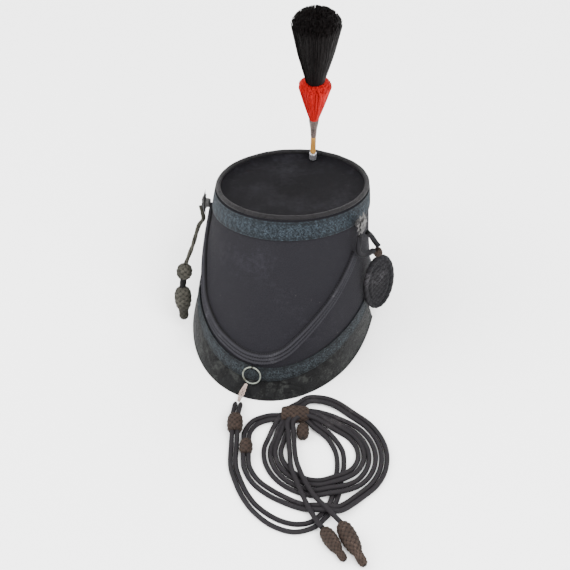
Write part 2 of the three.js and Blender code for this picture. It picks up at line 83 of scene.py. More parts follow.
def smooth_path(points: Sequence[Sequence[float]], step: float) -> np.ndarray:
    """Run a Catmull-Rom curve through points and resample it evenly.

    Args:
        points: Control points, of any number of coordinates.
        step: Distance between the samples, in the points' own unit.

    Returns:
        The samples, first and last control point included.
    """
    knots = np.asarray(points, dtype=float)
    padded = np.vstack([2 * knots[0] - knots[1], knots, 2 * knots[-1] - knots[-2]])
    pieces = []
    share = np.linspace(0, 1, 24, endpoint=False)[:, None]
    for a, b, c, d in zip(padded, padded[1:], padded[2:], padded[3:]):
        pieces.append(
            0.5 * (2 * b + (c - a) * share + (2 * a - 5 * b + 4 * c - d) * share**2
                   + (3 * b - a - 3 * c + d) * share**3)
        )
    fine = np.vstack([*pieces, knots[-1:]])
    run = np.concatenate([[0], np.cumsum(np.linalg.norm(np.diff(fine, axis=0), axis=1))])
    count = max(3, int(round(run[-1] / step)) + 1)
    at = np.linspace(0, run[-1], count)
    return np.stack([np.interp(at, run, fine[:, k]) for k in range(fine.shape[1])], axis=1)


def weave_height(along: np.ndarray, around: np.ndarray, power: float = 0.5) -> np.ndarray:
    """Height of a plait of two families of slanted strands that pass over and under.

    Args:
        along: Strands passed along the piece, a float for every point.
        around: Strands passed across the piece, a float for every point.
        power: How round the strands are; less is flatter.

    Returns:
        Height from 0 in the grooves to 1 on the strands.
    """
    first, second = along + around, along - around
    ridge_one = np.abs(np.sin(np.pi * first)) ** power
    ridge_two = np.abs(np.sin(np.pi * second)) ** power
    over = np.sin(np.pi * (second + np.floor(first)))
    under = np.sin(np.pi * (first + np.floor(second)))
    return np.maximum(ridge_one * (0.55 + 0.45 * over), ridge_two * (0.55 - 0.45 * under))


@dataclass(frozen=True)
class HatForm:
    """The oval base, the tapering wall and the tipped crown, in millimetres."""

    base_half_width: float = 81.0
    base_half_length: float = 103.5
    edge_rear: float = 12.0
    edge_side: float = 32.0
    edge_front: float = 20.0
    crown_half_width: float = 70.0
    crown_half_length: float = 77.5
    crown_forward: float = 26.0
    crown_height: float = 143.4
    tip: float = math.radians(16.9)
    lean: float = math.radians(5.5)

    def crown(self, angle: np.ndarray, share: np.ndarray, height: np.ndarray,
              out: np.ndarray = 0.0) -> np.ndarray:
        """Point of the tipped crown plane.

        Args:
            angle: Radians from the rear, plus to the right.
            share: Share of the way from the crown's middle to its edge.
            height: Millimetres off the plane.
            out: Millimetres by which the oval is grown.

        Returns:
            Points in hat millimetres.
        """
        angle, share, height, out = np.broadcast_arrays(angle, share, height, out)
        across = (self.crown_half_width + out) * share * np.sin(angle)
        back = (self.crown_half_length + out) * share * np.cos(angle)
        return np.stack([
            across,
            self.crown_forward - back * math.cos(self.tip) + height * math.sin(self.tip),
            self.crown_height + back * math.sin(self.tip) + across * math.tan(self.lean)
            + height * math.cos(self.tip),
        ], axis=-1)

    def wall(self, angle: np.ndarray, rise: np.ndarray, out: np.ndarray = 0.0) -> np.ndarray:
        """Point of the wall.

        Args:
            angle: Radians from the rear, plus to the right.
            rise: From 0 at the lower edge to 1 at the crown.
            out: Millimetres out from the wall.

        Returns:
            Points in hat millimetres.
        """
        angle, rise, out = np.broadcast_arrays(
            np.asarray(angle, float), np.asarray(rise, float), np.asarray(out, float))
        across, back = np.sin(angle), np.cos(angle)
        edge = np.where(back >= 0, self.edge_rear, self.edge_front)
        base = np.stack([
            (self.base_half_width + out) * across,
            -(self.base_half_length + out) * back,
            edge + (self.edge_side - edge) * across**2,
        ], axis=-1)
        top = self.crown(angle, 1.0, 0.0, out)
        return base + (top - base) * rise[..., None]

    def slope(self, angle: np.ndarray) -> np.ndarray:
        """Length of the wall's slope at an angle, in millimetres."""
        return np.linalg.norm(self.wall(angle, 1.0) - self.wall(angle, 0.0), axis=-1)


HAT = HatForm()


class Skin:
    """Builds meshes from rows of points, with a UV map in metres and a relief attribute."""

    UV = "surface"
    RELIEF = "relief"

    @classmethod
    def build(cls, name: str, rows: np.ndarray, ring: bool = False, tube: bool = True,
              relief: Optional[np.ndarray] = None, outward: bool = True,
              sharp: float = 60.0) -> bpy.types.Object:
        """Make an object from a grid of points.

        Args:
            name: The object's name.
            rows: Points in metres, shaped rows by columns by 3.
            ring: Whether the last row joins the first.
            tube: Whether the last column joins the first.
            relief: A number for every point, kept as an attribute for the materials.
            outward: Whether the normals are worked out again to face outwards.
            sharp: Angle in degrees past which an edge stays sharp.

        Returns:
            The new object, riding on the frame's body.
        """
        count, sides = rows.shape[:2]
        i, j = np.meshgrid(np.arange(count if ring else count - 1),
                           np.arange(sides if tube else sides - 1), indexing="ij")
        i, j = i.ravel(), j.ravel()
        after, beside = (i + 1) % count, (j + 1) % sides
        faces = np.stack([i * sides + j, after * sides + j, after * sides + beside,
                          i * sides + beside], axis=1)
        run = cls._run(rows, axis=0, closed=ring)
        girth = cls._run(rows, axis=1, closed=tube)
        uv = np.stack([
            np.stack([run[i], girth[j]], axis=1), np.stack([run[i + 1], girth[j]], axis=1),
            np.stack([run[i + 1], girth[j + 1]], axis=1), np.stack([run[i], girth[j + 1]], axis=1),
        ], axis=1)
        mesh = bpy.data.meshes.new(name)
        corners = [tuple(face) for face in faces.tolist()]
        caps = []
        if tube and not ring:
            caps = [tuple(range(sides)), tuple(reversed(range((count - 1) * sides, count * sides)))]
        mesh.from_pydata(rows.reshape(-1, 3).tolist(), [], corners + caps)
        layer = mesh.uv_layers.new(name=cls.UV)
        flat = np.zeros((len(mesh.loops), 2))
        flat[: len(faces) * 4] = uv.reshape(-1, 2)
        layer.data.foreach_set("uv", flat.ravel())
        attribute = mesh.attributes.new(cls.RELIEF, "FLOAT", "POINT")
        values = np.ones(count * sides) if relief is None else np.asarray(relief, float).ravel()
        attribute.data.foreach_set("value", values)
        cls.finish(mesh, outward, sharp)
        return cls.to_object(name, mesh)

    @staticmethod
    def _run(rows: np.ndarray, axis: int, closed: bool) -> np.ndarray:
        """Mean distance travelled along one axis of the grid."""
        steps = np.diff(rows, axis=axis)
        if closed:
            last = np.take(rows, [0], axis=axis) - np.take(rows, [-1], axis=axis)
            steps = np.concatenate([steps, last], axis=axis)
        mean = np.linalg.norm(steps, axis=-1).mean(axis=1 - axis)
        return np.concatenate([[0.0], np.cumsum(mean)])

    @staticmethod
    def finish(mesh: bpy.types.Mesh, outward: bool, sharp: float) -> None:
        """Merge doubles, face the normals outwards and shade a mesh smooth.

        Args:
            mesh: The mesh to finish.
            outward: Whether the normals are worked out again.
            sharp: Angle in degrees past which an edge stays sharp.
        """
        work = bmesh.new()
        work.from_mesh(mesh)
        bmesh.ops.remove_doubles(work, verts=work.verts, dist=1e-6)
        if outward:
            bmesh.ops.recalc_face_normals(work, faces=work.faces)
        work.to_mesh(mesh)
        work.free()
        mesh.polygons.foreach_set("use_smooth", [True] * len(mesh.polygons))
        mesh.set_sharp_from_angle(angle=math.radians(sharp))

    @staticmethod
    def to_object(name: str, mesh: bpy.types.Mesh) -> bpy.types.Object:
        """Put a mesh in the scene as an object that rides on the frame's body."""
        made = bpy.data.objects.new(name, mesh)
        bpy.context.scene.collection.objects.link(made)
        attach(made, BODY)
        return made


def sweep(path: np.ndarray, radius: Union[float, np.ndarray], sides: int,
          bumps: Optional[Callable[[np.ndarray, np.ndarray], np.ndarray]] = None,
          flatten: float = 1.0) -> tuple[np.ndarray, np.ndarray]:
    """Carry a round section along a path.

    Args:
        path: Points in metres.
        radius: Radius in metres, one for all or one for each point.
        sides: Points round the section.
        bumps: Gives the height of the surface, in metres, from the share of the way along
            and the share of the way round.
        flatten: Ratio of the section's upright to its level half size.

    Returns:
        The grid of points and the height at each.
    """
    tangent = unit(np.gradient(path, axis=0))
    seed = np.array([0.0, 0.0, 1.0]) if abs(tangent[0][2]) < 0.9 else np.array([0.0, 1.0, 0.0])
    normal = np.zeros_like(path)
    normal[0] = unit(seed - tangent[0] * np.dot(seed, tangent[0]))
    for k in range(1, len(path)):
        carried = normal[k - 1] - tangent[k] * np.dot(normal[k - 1], tangent[k])
        normal[k] = unit(carried)
    side = np.cross(tangent, normal)
    turn = np.linspace(0, 2 * math.pi, sides, endpoint=False)
    reach = np.broadcast_to(np.asarray(radius, float), (len(path),))[:, None]
    share = np.linspace(0, 1, len(path))[:, None]
    height = np.zeros((len(path), sides))
    if bumps is not None:
        height = bumps(share + 0 * turn[None], turn[None] / (2 * math.pi) + 0 * share)
    out = (reach + height)[..., None]
    rows = (path[:, None] + out * flatten * np.cos(turn)[None, :, None] * normal[:, None]
            + out * np.sin(turn)[None, :, None] * side[:, None])
    return rows, height


class Graph:
    """Shorthand for building a node tree."""

    def __init__(self, tree: bpy.types.NodeTree) -> None:
        """Keep the tree that nodes are added to."""
        self.tree = tree

    def add(self, kind: str, values: Optional[dict[Union[int, str], Value]] = None,
            **settings: object) -> bpy.types.Node:
        """Add a node.

        Args:
            kind: The node's type name.
            values: Input name or number to a constant or to a socket to link from.
            settings: Properties set on the node.

        Returns:
            The node.
        """
        node = self.tree.nodes.new(kind)
        for key, setting in settings.items():
            setattr(node, key, setting)
        for key, value in (values or {}).items():
            if isinstance(value, bpy.types.NodeSocket):
                self.tree.links.new(value, node.inputs[key])
            else:
                node.inputs[key].default_value = value
        return node

    def math(self, operation: str, first: Value, second: Value = 0.0) -> bpy.types.NodeSocket:
        """Add a Math node and return its result."""
        return self.add("ShaderNodeMath", {0: first, 1: second}, operation=operation).outputs[0]

    def mix(self, share: Value, first: Value, second: Value) -> bpy.types.NodeSocket:
        """Mix two colours by a share and return the result."""
        node = self.add("ShaderNodeMix", data_type="RGBA")
        for key, value in ((0, share), (6, first), (7, second)):
            if isinstance(value, bpy.types.NodeSocket):
                self.tree.links.new(value, node.inputs[key])
            else:
                node.inputs[key].default_value = value
        return node.outputs[2]

    def map(self, value: Value, low: float, high: float) -> bpy.types.NodeSocket:
        """Stretch the values between low and high over 0 to 1 and return the result."""
        return self.add("ShaderNodeMapRange", {0: value, 1: low, 2: high}).outputs[0]


def shader_group(name: str, inputs: dict[str, float], outputs: Sequence[str],
                 fill: Callable[[Graph, dict[str, bpy.types.NodeSocket]], dict[str, Value]]
                 ) -> bpy.types.NodeTree:
    """Build a shader node group.

    Args:
        name: The group's name.
        inputs: Number inputs with their defaults. Every group also has a Vector input.
        outputs: Names of the number outputs.
        fill: Adds the nodes and returns the socket for each output.

    Returns:
        The group.
    """
    tree = bpy.data.node_groups.new(name, "ShaderNodeTree")
    tree.interface.new_socket("Vector", in_out="INPUT", socket_type="NodeSocketVector")
    for label, default in inputs.items():
        socket = tree.interface.new_socket(label, in_out="INPUT", socket_type="NodeSocketFloat")
        socket.default_value = default
    for label in outputs:
        tree.interface.new_socket(label, in_out="OUTPUT", socket_type="NodeSocketFloat")
    graph = Graph(tree)
    entry = graph.add("NodeGroupInput")
    results = fill(graph, {socket.name: socket for socket in entry.outputs if socket.name})
    exit_node = graph.add("NodeGroupOutput")
    for label, value in results.items():
        tree.links.new(value, exit_node.inputs[label])
    return tree


def fill_weave(graph: Graph, given: dict[str, bpy.types.NodeSocket]) -> dict[str, Value]:
    """Plain weave: two sets of threads, crossed, at so many threads a metre."""
    split = graph.add("ShaderNodeSeparateXYZ", {0: given["Vector"]})
    waves = [graph.math("SINE", graph.math("MULTIPLY", split.outputs[axis], given["Threads"]))
             for axis in range(2)]
    crossed = graph.math("MULTIPLY", waves[0], waves[1])
    fuzz = graph.add("ShaderNodeTexNoise", {"Vector": given["Vector"], "Scale": given["Fuzz"],
                                            "Detail": 3.0}).outputs[0]
    return {"Height": graph.math("ADD", graph.math("MULTIPLY", crossed, 0.35), fuzz),
            "Fuzz": fuzz}


def fill_wear(graph: Graph, given: dict[str, bpy.types.NodeSocket]) -> dict[str, Value]:
    """Worn patches: a broad noise cut to islands, broken up by a fine one."""
    broad = graph.add("ShaderNodeTexNoise", {"Vector": given["Vector"], "Scale": given["Scale"],
                                             "Detail": 6.0, "Roughness": 0.65}).outputs[0]
    fine = graph.add("ShaderNodeTexNoise", {"Vector": given["Vector"], "Scale": given["Fine"],
                                            "Detail": 2.0}).outputs[0]
    both = graph.math("ADD", broad, graph.math("MULTIPLY", graph.math("SUBTRACT", fine, 0.5), 0.35))
    low = graph.math("SUBTRACT", 1.0, given["Amount"])
    cut = graph.add("ShaderNodeMapRange", {0: both, 1: low, 2: graph.math("ADD", low, 0.16)})
    return {"Mask": cut.outputs[0], "Mottle": broad}


def fill_grain(graph: Graph, given: dict[str, bpy.types.NodeSocket]) -> dict[str, Value]:
    """Leather: pebbles with fine cracks between them, and long creases."""
    pebble = graph.add("ShaderNodeTexVoronoi", {"Vector": given["Vector"], "Scale": given["Scale"]},
                       feature="DISTANCE_TO_EDGE").outputs[0]
    crease = graph.add("ShaderNodeTexNoise", {"Vector": given["Vector"], "Scale": given["Creases"],
                                              "Detail": 4.0, "Distortion": 1.2}).outputs[0]
    line = graph.math("ABSOLUTE", graph.math("SUBTRACT", crease, 0.5))
    crack = graph.map(line, 0.0, 0.035)
    return {"Height": graph.math("ADD", graph.map(pebble, 0.0, 0.12), crack), "Crack": crack}


def fill_dust(graph: Graph, given: dict[str, bpy.types.NodeSocket]) -> dict[str, Value]:
    """Lint: short pale specks scattered thinly over a surface."""
    cells = graph.add("ShaderNodeTexVoronoi", {"Vector": given["Vector"], "Scale": given["Scale"]})
    spot = graph.map(cells.outputs["Distance"], 0.16, 0.05)
    chance = graph.add("ShaderNodeSeparateColor", {0: cells.outputs["Color"]}).outputs[0]
    return {"Mask": graph.math("MULTIPLY", spot, graph.math("LESS_THAN", chance, given["Amount"]))}


def fill_braid(graph: Graph, given: dict[str, bpy.types.NodeSocket]) -> dict[str, Value]:
    """Fine braid: slanted yarns that cross, so many a metre along and round the piece."""
    split = graph.add("ShaderNodeSeparateXYZ", {0: given["Vector"]})
    along = graph.math("MULTIPLY", split.outputs[0], given["Along"])
    around = graph.math("MULTIPLY", split.outputs[1], given["Around"])
    ridges = [graph.math("ABSOLUTE", graph.math("SINE", graph.math(kind, along, around)))
              for kind in ("ADD", "SUBTRACT")]
    return {"Height": graph.math("MAXIMUM", ridges[0], ridges[1])}


class Groups:
    """The shader node groups, each built once."""

    def __init__(self) -> None:
        """Build the groups."""
        self.weave = shader_group("plain_weave", {"Threads": 9000.0, "Fuzz": 1200.0},
                                  ["Height", "Fuzz"], fill_weave)
        self.wear = shader_group("worn_patches", {"Scale": 30.0, "Fine": 500.0, "Amount": 0.4},
                                 ["Mask", "Mottle"], fill_wear)
        self.grain = shader_group("leather_grain", {"Scale": 900.0, "Creases": 40.0},
                                  ["Height", "Crack"], fill_grain)
        self.dust = shader_group("lint", {"Scale": 420.0, "Amount": 0.02}, ["Mask"], fill_dust)
        self.braid = shader_group("fine_braid", {"Along": 2200.0, "Around": 2200.0},
                                  ["Height"], fill_braid)


GROUPS = Groups()
Colour = tuple[float, float, float]
# Share of a named colour that a dyed surface gives back under the bright studio light.
DYE = 0.46


def shade(red: int, green: int, blue: int) -> Colour:
    """Turn an sRGB colour of 0 to 255 into linear light."""
    def linear(value: int) -> float:
        share = value / 255
        full = share / 12.92 if share <= 0.04045 else ((share + 0.055) / 1.055) ** 2.4
        return full * DYE
    return linear(red), linear(green), linear(blue)


class Paint:
    """A material in the making: its graph, its shader and its coordinates."""

    def __init__(self, name: str) -> None:
        """Start a material with a Principled shader.

        Args:
            name: The material's name.
        """
        self.material = bpy.data.materials.new(name)
        self.material.use_nodes = True
        self.graph = Graph(self.material.node_tree)
        self.shader = self.material.node_tree.nodes["Principled BSDF"]
        self.position = self.graph.add("ShaderNodeTexCoord").outputs["Object"]
        self.surface = self.graph.add("ShaderNodeUVMap", uv_map=Skin.UV).outputs[0]
        self.relief = self.graph.add("ShaderNodeAttribute", attribute_name=Skin.RELIEF).outputs["Fac"]

    def group(self, tree: bpy.types.NodeTree, vector: bpy.types.NodeSocket,
              **values: float) -> bpy.types.Node:
        """Place a node group.

        Args:
            tree: The group.
            vector: Coordinates that it reads.
            values: Its number inputs.

        Returns:
            The node.
        """
        node = self.graph.add("ShaderNodeGroup", node_tree=tree)
        self.graph.tree.links.new(vector, node.inputs["Vector"])
        for key, value in values.items():
            node.inputs[key].default_value = value
        return node

    def set(self, colour: Value, roughness: Value, height: Optional[bpy.types.NodeSocket] = None,
            depth: float = 0.0002, metallic: float = 0.0, sheen: float = 0.0,
            specular: float = 0.5) -> bpy.types.Material:
        """Feed the shader.

        Args:
            colour: Base colour, a socket or a colour.
            roughness: Roughness, a socket or a number.
            height: Height that bumps the surface.
            depth: Depth of the bump, in metres.
            metallic: Metallic, a number.
            sheen: Sheen weight, a number.
            specular: Specular level, a number.

        Returns:
            The material.
        """
        values = {"Base Color": (*colour, 1.0) if isinstance(colour, tuple) else colour,
                  "Roughness": roughness, "Metallic": metallic, "Sheen Weight": sheen,
                  "Specular IOR Level": specular}
        if height is not None:
            bump = self.graph.add("ShaderNodeBump", {"Height": height, "Distance": depth,
                                                     "Strength": 1.0})
            values["Normal"] = bump.outputs[0]
        for key, value in values.items():
            if isinstance(value, bpy.types.NodeSocket):
                self.graph.tree.links.new(value, self.shader.inputs[key])
            else:
                self.shader.inputs[key].default_value = value
        return self.material


@dataclass(frozen=True)
class ClothFinish:
    """Napped wool cloth with faint worn patches and lint."""

    name: str
    colour: Colour
    worn: Colour
    wear: float = 0.42
    roughness: float = 0.93

    def build(self) -> bpy.types.Material:
        """Build the material."""
        paint = Paint(self.name)
        weave = paint.group(GROUPS.weave, paint.surface, Threads=7500.0, Fuzz=1500.0)
        wear = paint.group(GROUPS.wear, paint.position, Scale=16.0, Fine=260.0, Amount=self.wear)
        dust = paint.group(GROUPS.dust, paint.position, Scale=300.0, Amount=0.035)
        mottle = paint.graph.mix(wear.outputs["Mask"], (*self.colour, 1), (*self.worn, 1))
        fuzz = paint.graph.mix(paint.graph.map(weave.outputs["Fuzz"], 0.3, 0.7),
                               (0.62, 0.62, 0.62, 1), (1.35, 1.35, 1.35, 1))
        tone = paint.graph.add("ShaderNodeMix", data_type="RGBA", blend_type="MULTIPLY")
        tone.inputs[0].default_value = 1.0
        paint.graph.tree.links.new(mottle, tone.inputs[6])
        paint.graph.tree.links.new(fuzz, tone.inputs[7])
        lint = paint.graph.mix(paint.graph.math("MULTIPLY", dust.outputs[0], 0.35),
                               tone.outputs[2], (*shade(150, 145, 140), 1))
        return paint.set(lint, self.roughness, weave.outputs["Height"], 0.0004, specular=0.08)


@dataclass(frozen=True)
class LeatherFinish:
    """Old leather: grain, creases darkened with painted shade, rubbed patches and a dull gloss."""

    name: str
    colour: Colour
    worn: Colour
    rust: Colour
    wear: float = 0.46
    gloss: float = 0.5
    patch: float = 42.0
    depth: float = 0.0005

    def build(self) -> bpy.types.Material:
        """Build the material."""
        paint = Paint(self.name)
        grain = paint.group(GROUPS.grain, paint.position, Scale=1100.0, Creases=38.0)
        wear = paint.group(GROUPS.wear, paint.position, Scale=self.patch, Fine=700.0,
                           Amount=self.wear)
        spots = paint.group(GROUPS.wear, paint.position, Scale=70.0, Fine=900.0, Amount=0.3)
        dust = paint.group(GROUPS.dust, paint.position, Scale=380.0, Amount=0.03)
        rubbed = paint.graph.mix(wear.outputs["Mask"], (*self.colour, 1), (*self.worn, 1))
        rusty = paint.graph.mix(spots.outputs["Mask"], rubbed, (*self.rust, 1))
        # Painted shade: the crease lines go to a darker copy of the leather's colour, about a third as bright.
        dark = paint.graph.mix(grain.outputs["Crack"], (*[c * 0.35 for c in self.colour], 1), rusty)
        colour = paint.graph.mix(paint.graph.math("MULTIPLY", dust.outputs[0], 0.4), dark,
                                 (*shade(160, 155, 145), 1))
        rough = paint.graph.math("ADD", self.gloss,
                                 paint.graph.math("MULTIPLY", wear.outputs["Mottle"], 0.3))
        return paint.set(colour, rough, grain.outputs["Height"], self.depth, specular=0.16)


@dataclass(frozen=True)
class LaceFinish:
    """Patterned lace: a running motif in pale thread on a dark ribbed ground, with painted glints on the thread."""

    name: str
    ground: Colour
    thread: Colour
    # Colour of the painted highlight on the thread.
    light: Colour
    wear: float = 0.4

    def build(self) -> bpy.types.Material:
        """Build the material."""
        paint = Paint(self.name)
        weave = paint.group(GROUPS.weave, paint.surface, Threads=5200.0, Fuzz=1900.0)
        wear = paint.group(GROUPS.wear, paint.position, Scale=60.0, Fine=900.0, Amount=self.wear)
        fleck = paint.graph.add("ShaderNodeTexNoise", {"Vector": paint.position, "Scale": 620.0,
                                                       "Detail": 3.0, "Roughness": 0.7}).outputs[0]
        figure = paint.graph.math("MULTIPLY", paint.graph.map(paint.relief, 0.2, 0.75),
                                  paint.graph.map(fleck, 0.4, 0.58))
        base = paint.graph.mix(figure, (*self.ground, 1), (*self.thread, 1))
        fuzz = paint.graph.map(weave.outputs["Fuzz"], 0.46, 0.68)
        # Painted highlight: flecks of the raised thread go to the light colour.
        glint = paint.graph.mix(paint.graph.math("MULTIPLY", fuzz, figure), base, (*self.light, 1))
        faded = paint.graph.mix(paint.graph.math("MULTIPLY", wear.outputs["Mask"], 0.5), glint,
                                (*self.ground, 1))
        return paint.set(faded, 0.72, weave.outputs["Height"], 0.0005, specular=0.15)


@dataclass(frozen=True)
class BraidFinish:
    """Braided cord: slanted yarns with painted shade in the grooves, rubbed pale on the crowns."""

    name: str
    colour: Colour
    rubbed: Colour
    # Share of the colour kept in the painted shade of the grooves.
    groove_shade: float = 0.3
    yarn: float = 2600.0
    wear: float = 0.42
    depth: float = 0.00035

    def build(self) -> bpy.types.Material:
        """Build the material."""
        paint = Paint(self.name)
        braid = paint.group(GROUPS.braid, paint.surface, Along=self.yarn, Around=self.yarn)
        wear = paint.group(GROUPS.wear, paint.position, Scale=45.0, Fine=1000.0, Amount=self.wear)
        rubbed = paint.graph.mix(wear.outputs["Mask"], (*self.colour, 1), (*self.rubbed, 1))
        # Painted shade: a darker copy of the cord's colour for the grooves.
        low = (*[c * self.groove_shade for c in self.colour], 1)
        # Painted shade: the grooves between yarns, and the low parts of the piece's relief, take the darker copy.
        yarns = paint.graph.mix(paint.graph.map(braid.outputs["Height"], 0.45, 0.85), low, rubbed)
        shaded_grooves = paint.graph.mix(paint.graph.map(paint.relief, 0.15, 0.7), low, yarns)
        return paint.set(shaded_grooves, 0.8, braid.outputs["Height"], self.depth, specular=0.14)


@dataclass(frozen=True)
class MetalFinish:
    """Old metal: bright or dull, with tarnished patches and painted shade in the low parts of its relief."""

    name: str
    colour: Colour
    tarnish: Colour
    roughness: float = 0.32
    wear: float = 0.5
    metallic: float = 1.0

    def build(self) -> bpy.types.Material:
        """Build the material."""
        paint = Paint(self.name)
        wear = paint.group(GROUPS.wear, paint.position, Scale=120.0, Fine=1500.0, Amount=self.wear)
        colour = paint.graph.mix(wear.outputs["Mask"], (*self.colour, 1), (*self.tarnish, 1))
        # Painted shade: the low parts of the relief, such as leaf undersides and the grooves of wound wire, go to a
        # quarter of the tarnish colour.
        shaded = paint.graph.mix(paint.graph.map(paint.relief, 0.0, 0.6),
                                 (*[c * 0.25 for c in self.tarnish], 1), colour)
        rough = paint.graph.math("ADD", self.roughness,
                                 paint.graph.math("MULTIPLY", wear.outputs["Mask"], 0.25))
        return paint.set(shaded, rough, wear.outputs["Mottle"], 0.0003, metallic=self.metallic)


@dataclass(frozen=True)
class HairFinish:
    """Horsehair or dyed hair, each strand its own tone."""

    name: str
    root: Colour
    tip: Colour

    def build(self) -> bpy.types.Material:
        """Build the material."""
        paint = Paint(self.name)
        tone = paint.graph.mix(paint.relief, (*self.root, 1), (*self.tip, 1))
        streak = paint.graph.add("ShaderNodeTexNoise", {"Vector": paint.position, "Scale": 900.0,
                                                        "Detail": 2.0}).outputs[0]
        colour = paint.graph.mix(paint.graph.map(streak, 0.4, 0.75), tone, (*self.tip, 1))
        return paint.set(colour, 0.55, specular=0.12)


@dataclass(frozen=True)
class WoodFinish:
    """Turned wood with grain that runs along it."""

    name: str
    pale: Colour
    dark: Colour

    def build(self) -> bpy.types.Material:
        """Build the material."""
        paint = Paint(self.name)
        stretched = paint.graph.add("ShaderNodeMapping", {"Vector": paint.position,
                                                          "Scale": (1.0, 1.0, 0.06)}).outputs[0]
        grain = paint.graph.add("ShaderNodeTexNoise", {"Vector": stretched, "Scale": 1500.0,
                                                       "Detail": 5.0}).outputs[0]
        colour = paint.graph.mix(paint.graph.map(grain, 0.35, 0.65), (*self.dark, 1),
                                 (*self.pale, 1))
        return paint.set(colour, 0.45, grain, 0.0002)


class Slot(Enum):
    """The record's material slots."""

    BODY = "body_cloth"
    BINDING = "binding_leather"
    PEAK = "peak_leather"
    LACE = "lace"
    PLAIT = "plait"
    LINE = "line_cord"
    KNOT = "knot_cord"
    OLD_TRIM = "old_trim"
    WORN = "worn_thread"
    BOSS = "boss_metal"
    RING = "ring_metal"
    SOCKET = "socket_metal"
    STEM = "stem_wood"
    FERRULE = "ferrule_wire"
    RED = "red_hair"
    BLACK = "black_hair"


class Wardrobe:
    """Every material of the hat, each built once."""

    def __init__(self) -> None:
        """Build the materials."""
        self.body = ClothFinish("wool_cloth", shade(42, 41, 46), shade(50, 49, 55)).build()
        self.crown = ClothFinish("crown_cloth", shade(20, 19, 23), shade(36, 35, 40), 0.5).build()
        self.lining = ClothFinish("lining_cloth", shade(70, 60, 50), shade(95, 82, 66)).build()
        self.binding = LeatherFinish("binding_leather", shade(34, 32, 35), shade(56, 52, 54),
                                     shade(96, 58, 56), 0.42).build()
        self.peak = LeatherFinish("peak_leather", shade(14, 15, 17), shade(58, 60, 58),
                                  shade(34, 28, 26), 0.52, 0.5, 95.0, 0.0012).build()
        self.upper_lace = LaceFinish("upper_lace", shade(12, 17, 22), shade(36, 48, 58),
                                     shade(104, 118, 128), 0.4).build()
        self.lower_lace = LaceFinish("lower_lace", shade(12, 15, 18), shade(40, 47, 53),
                                     shade(98, 108, 114), 0.5).build()
        # The fourth number of each BraidFinish is the share of the cord's colour kept in the painted shade of its
        # grooves.
        self.plait = BraidFinish("plait_cord", shade(60, 59, 65), shade(98, 97, 102), 0.08).build()
        self.line = BraidFinish("line_cord", shade(38, 35, 38), shade(72, 68, 69), 0.4,
                                2100.0, 0.4, 0.00012).build()
        self.knot = BraidFinish("knot_cord", shade(66, 53, 46), shade(100, 83, 74), 0.18,
                                3200.0, 0.5).build()
        self.looped = BraidFinish("looped_cord", shade(38, 37, 41), shade(84, 82, 86), 0.06).build()
        self.old = BraidFinish("old_cord", shade(66, 64, 57), shade(100, 97, 88), 0.25,
                               3200.0, 0.5).build()
        self.link = BraidFinish("link_cord", shade(22, 21, 22), shade(38, 36, 37)).build()
        self.worn = BraidFinish("worn_thread", shade(214, 188, 176), shade(236, 218, 208), 0.6,
                                3800.0, 0.5).build()
        self.boss = MetalFinish("boss_thread", shade(104, 102, 100), shade(58, 57, 58), 0.5,
                                0.55, 0.25).build()
        self.ring = MetalFinish("ring_metal", shade(178, 184, 172), shade(120, 120, 108), 0.42).build()
        self.socket = MetalFinish("socket_metal", shade(214, 212, 218), shade(180, 176, 180),
                                  0.35, 0.4, 0.8).build()
        self.ferrule = MetalFinish("ferrule_wire", shade(140, 122, 116), shade(86, 74, 72), 0.4,
                                   0.5, 0.6).build()
        self.stem = WoodFinish("stem_wood", shade(226, 172, 88), shade(190, 128, 56)).build()
        self.red = HairFinish("red_hair", shade(228, 8, 12), shade(255, 50, 46)).build()
        self.black = HairFinish("black_hair", shade(6, 5, 5), shade(24, 18, 18)).build()


def dress(piece: bpy.types.Object, material: bpy.types.Material, slot: Slot,
          *nodes: str) -> bpy.types.Object:
    """Give a piece its material and hide the frame's nodes that it stands for.

    Args:
        piece: The piece.
        material: Its material.
        slot: The record's slot; not used.
        nodes: The frame's nodes that it replaces.

    Returns:
        The piece.
    """
    piece.data.materials.clear()
    piece.data.materials.append(material)
    if nodes:
        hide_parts(*nodes)
    LOG.info("%s: %d faces", piece.name, len(piece.data.polygons))
    return piece


@dataclass(frozen=True)
class Turn:
    """One turn of the coiled cap line on the floor, an oval arc in millimetres."""

    x: float
    y: float
    half_x: float
    half_y: float
    start: float
    end: float
    spread: float

    def rows(self, every: float = 18.0) -> list[tuple[float, float, float, float]]:
        """Work out the turn's points, humped where they pass over the lead.

        Args:
            every: Degrees between the points.

        Returns:
            Rows of x, y, z and half the distance between the two strands.
        """
        made = []
        count = int(round((self.end - self.start) / every))
        for k in range(count + 1):
            turn = math.radians(self.start + (self.end - self.start) * k / count)
            x, y = self.x + self.half_x * math.cos(turn), self.y + self.half_y * math.sin(turn)
            under = math.exp(-(((x - 102.0) / 13.0) ** 2)) if math.sin(turn) < 0 else 0.0
            made.append((x, y, CapLine.RADIUS + 5.0 * under, self.spread))
        return made


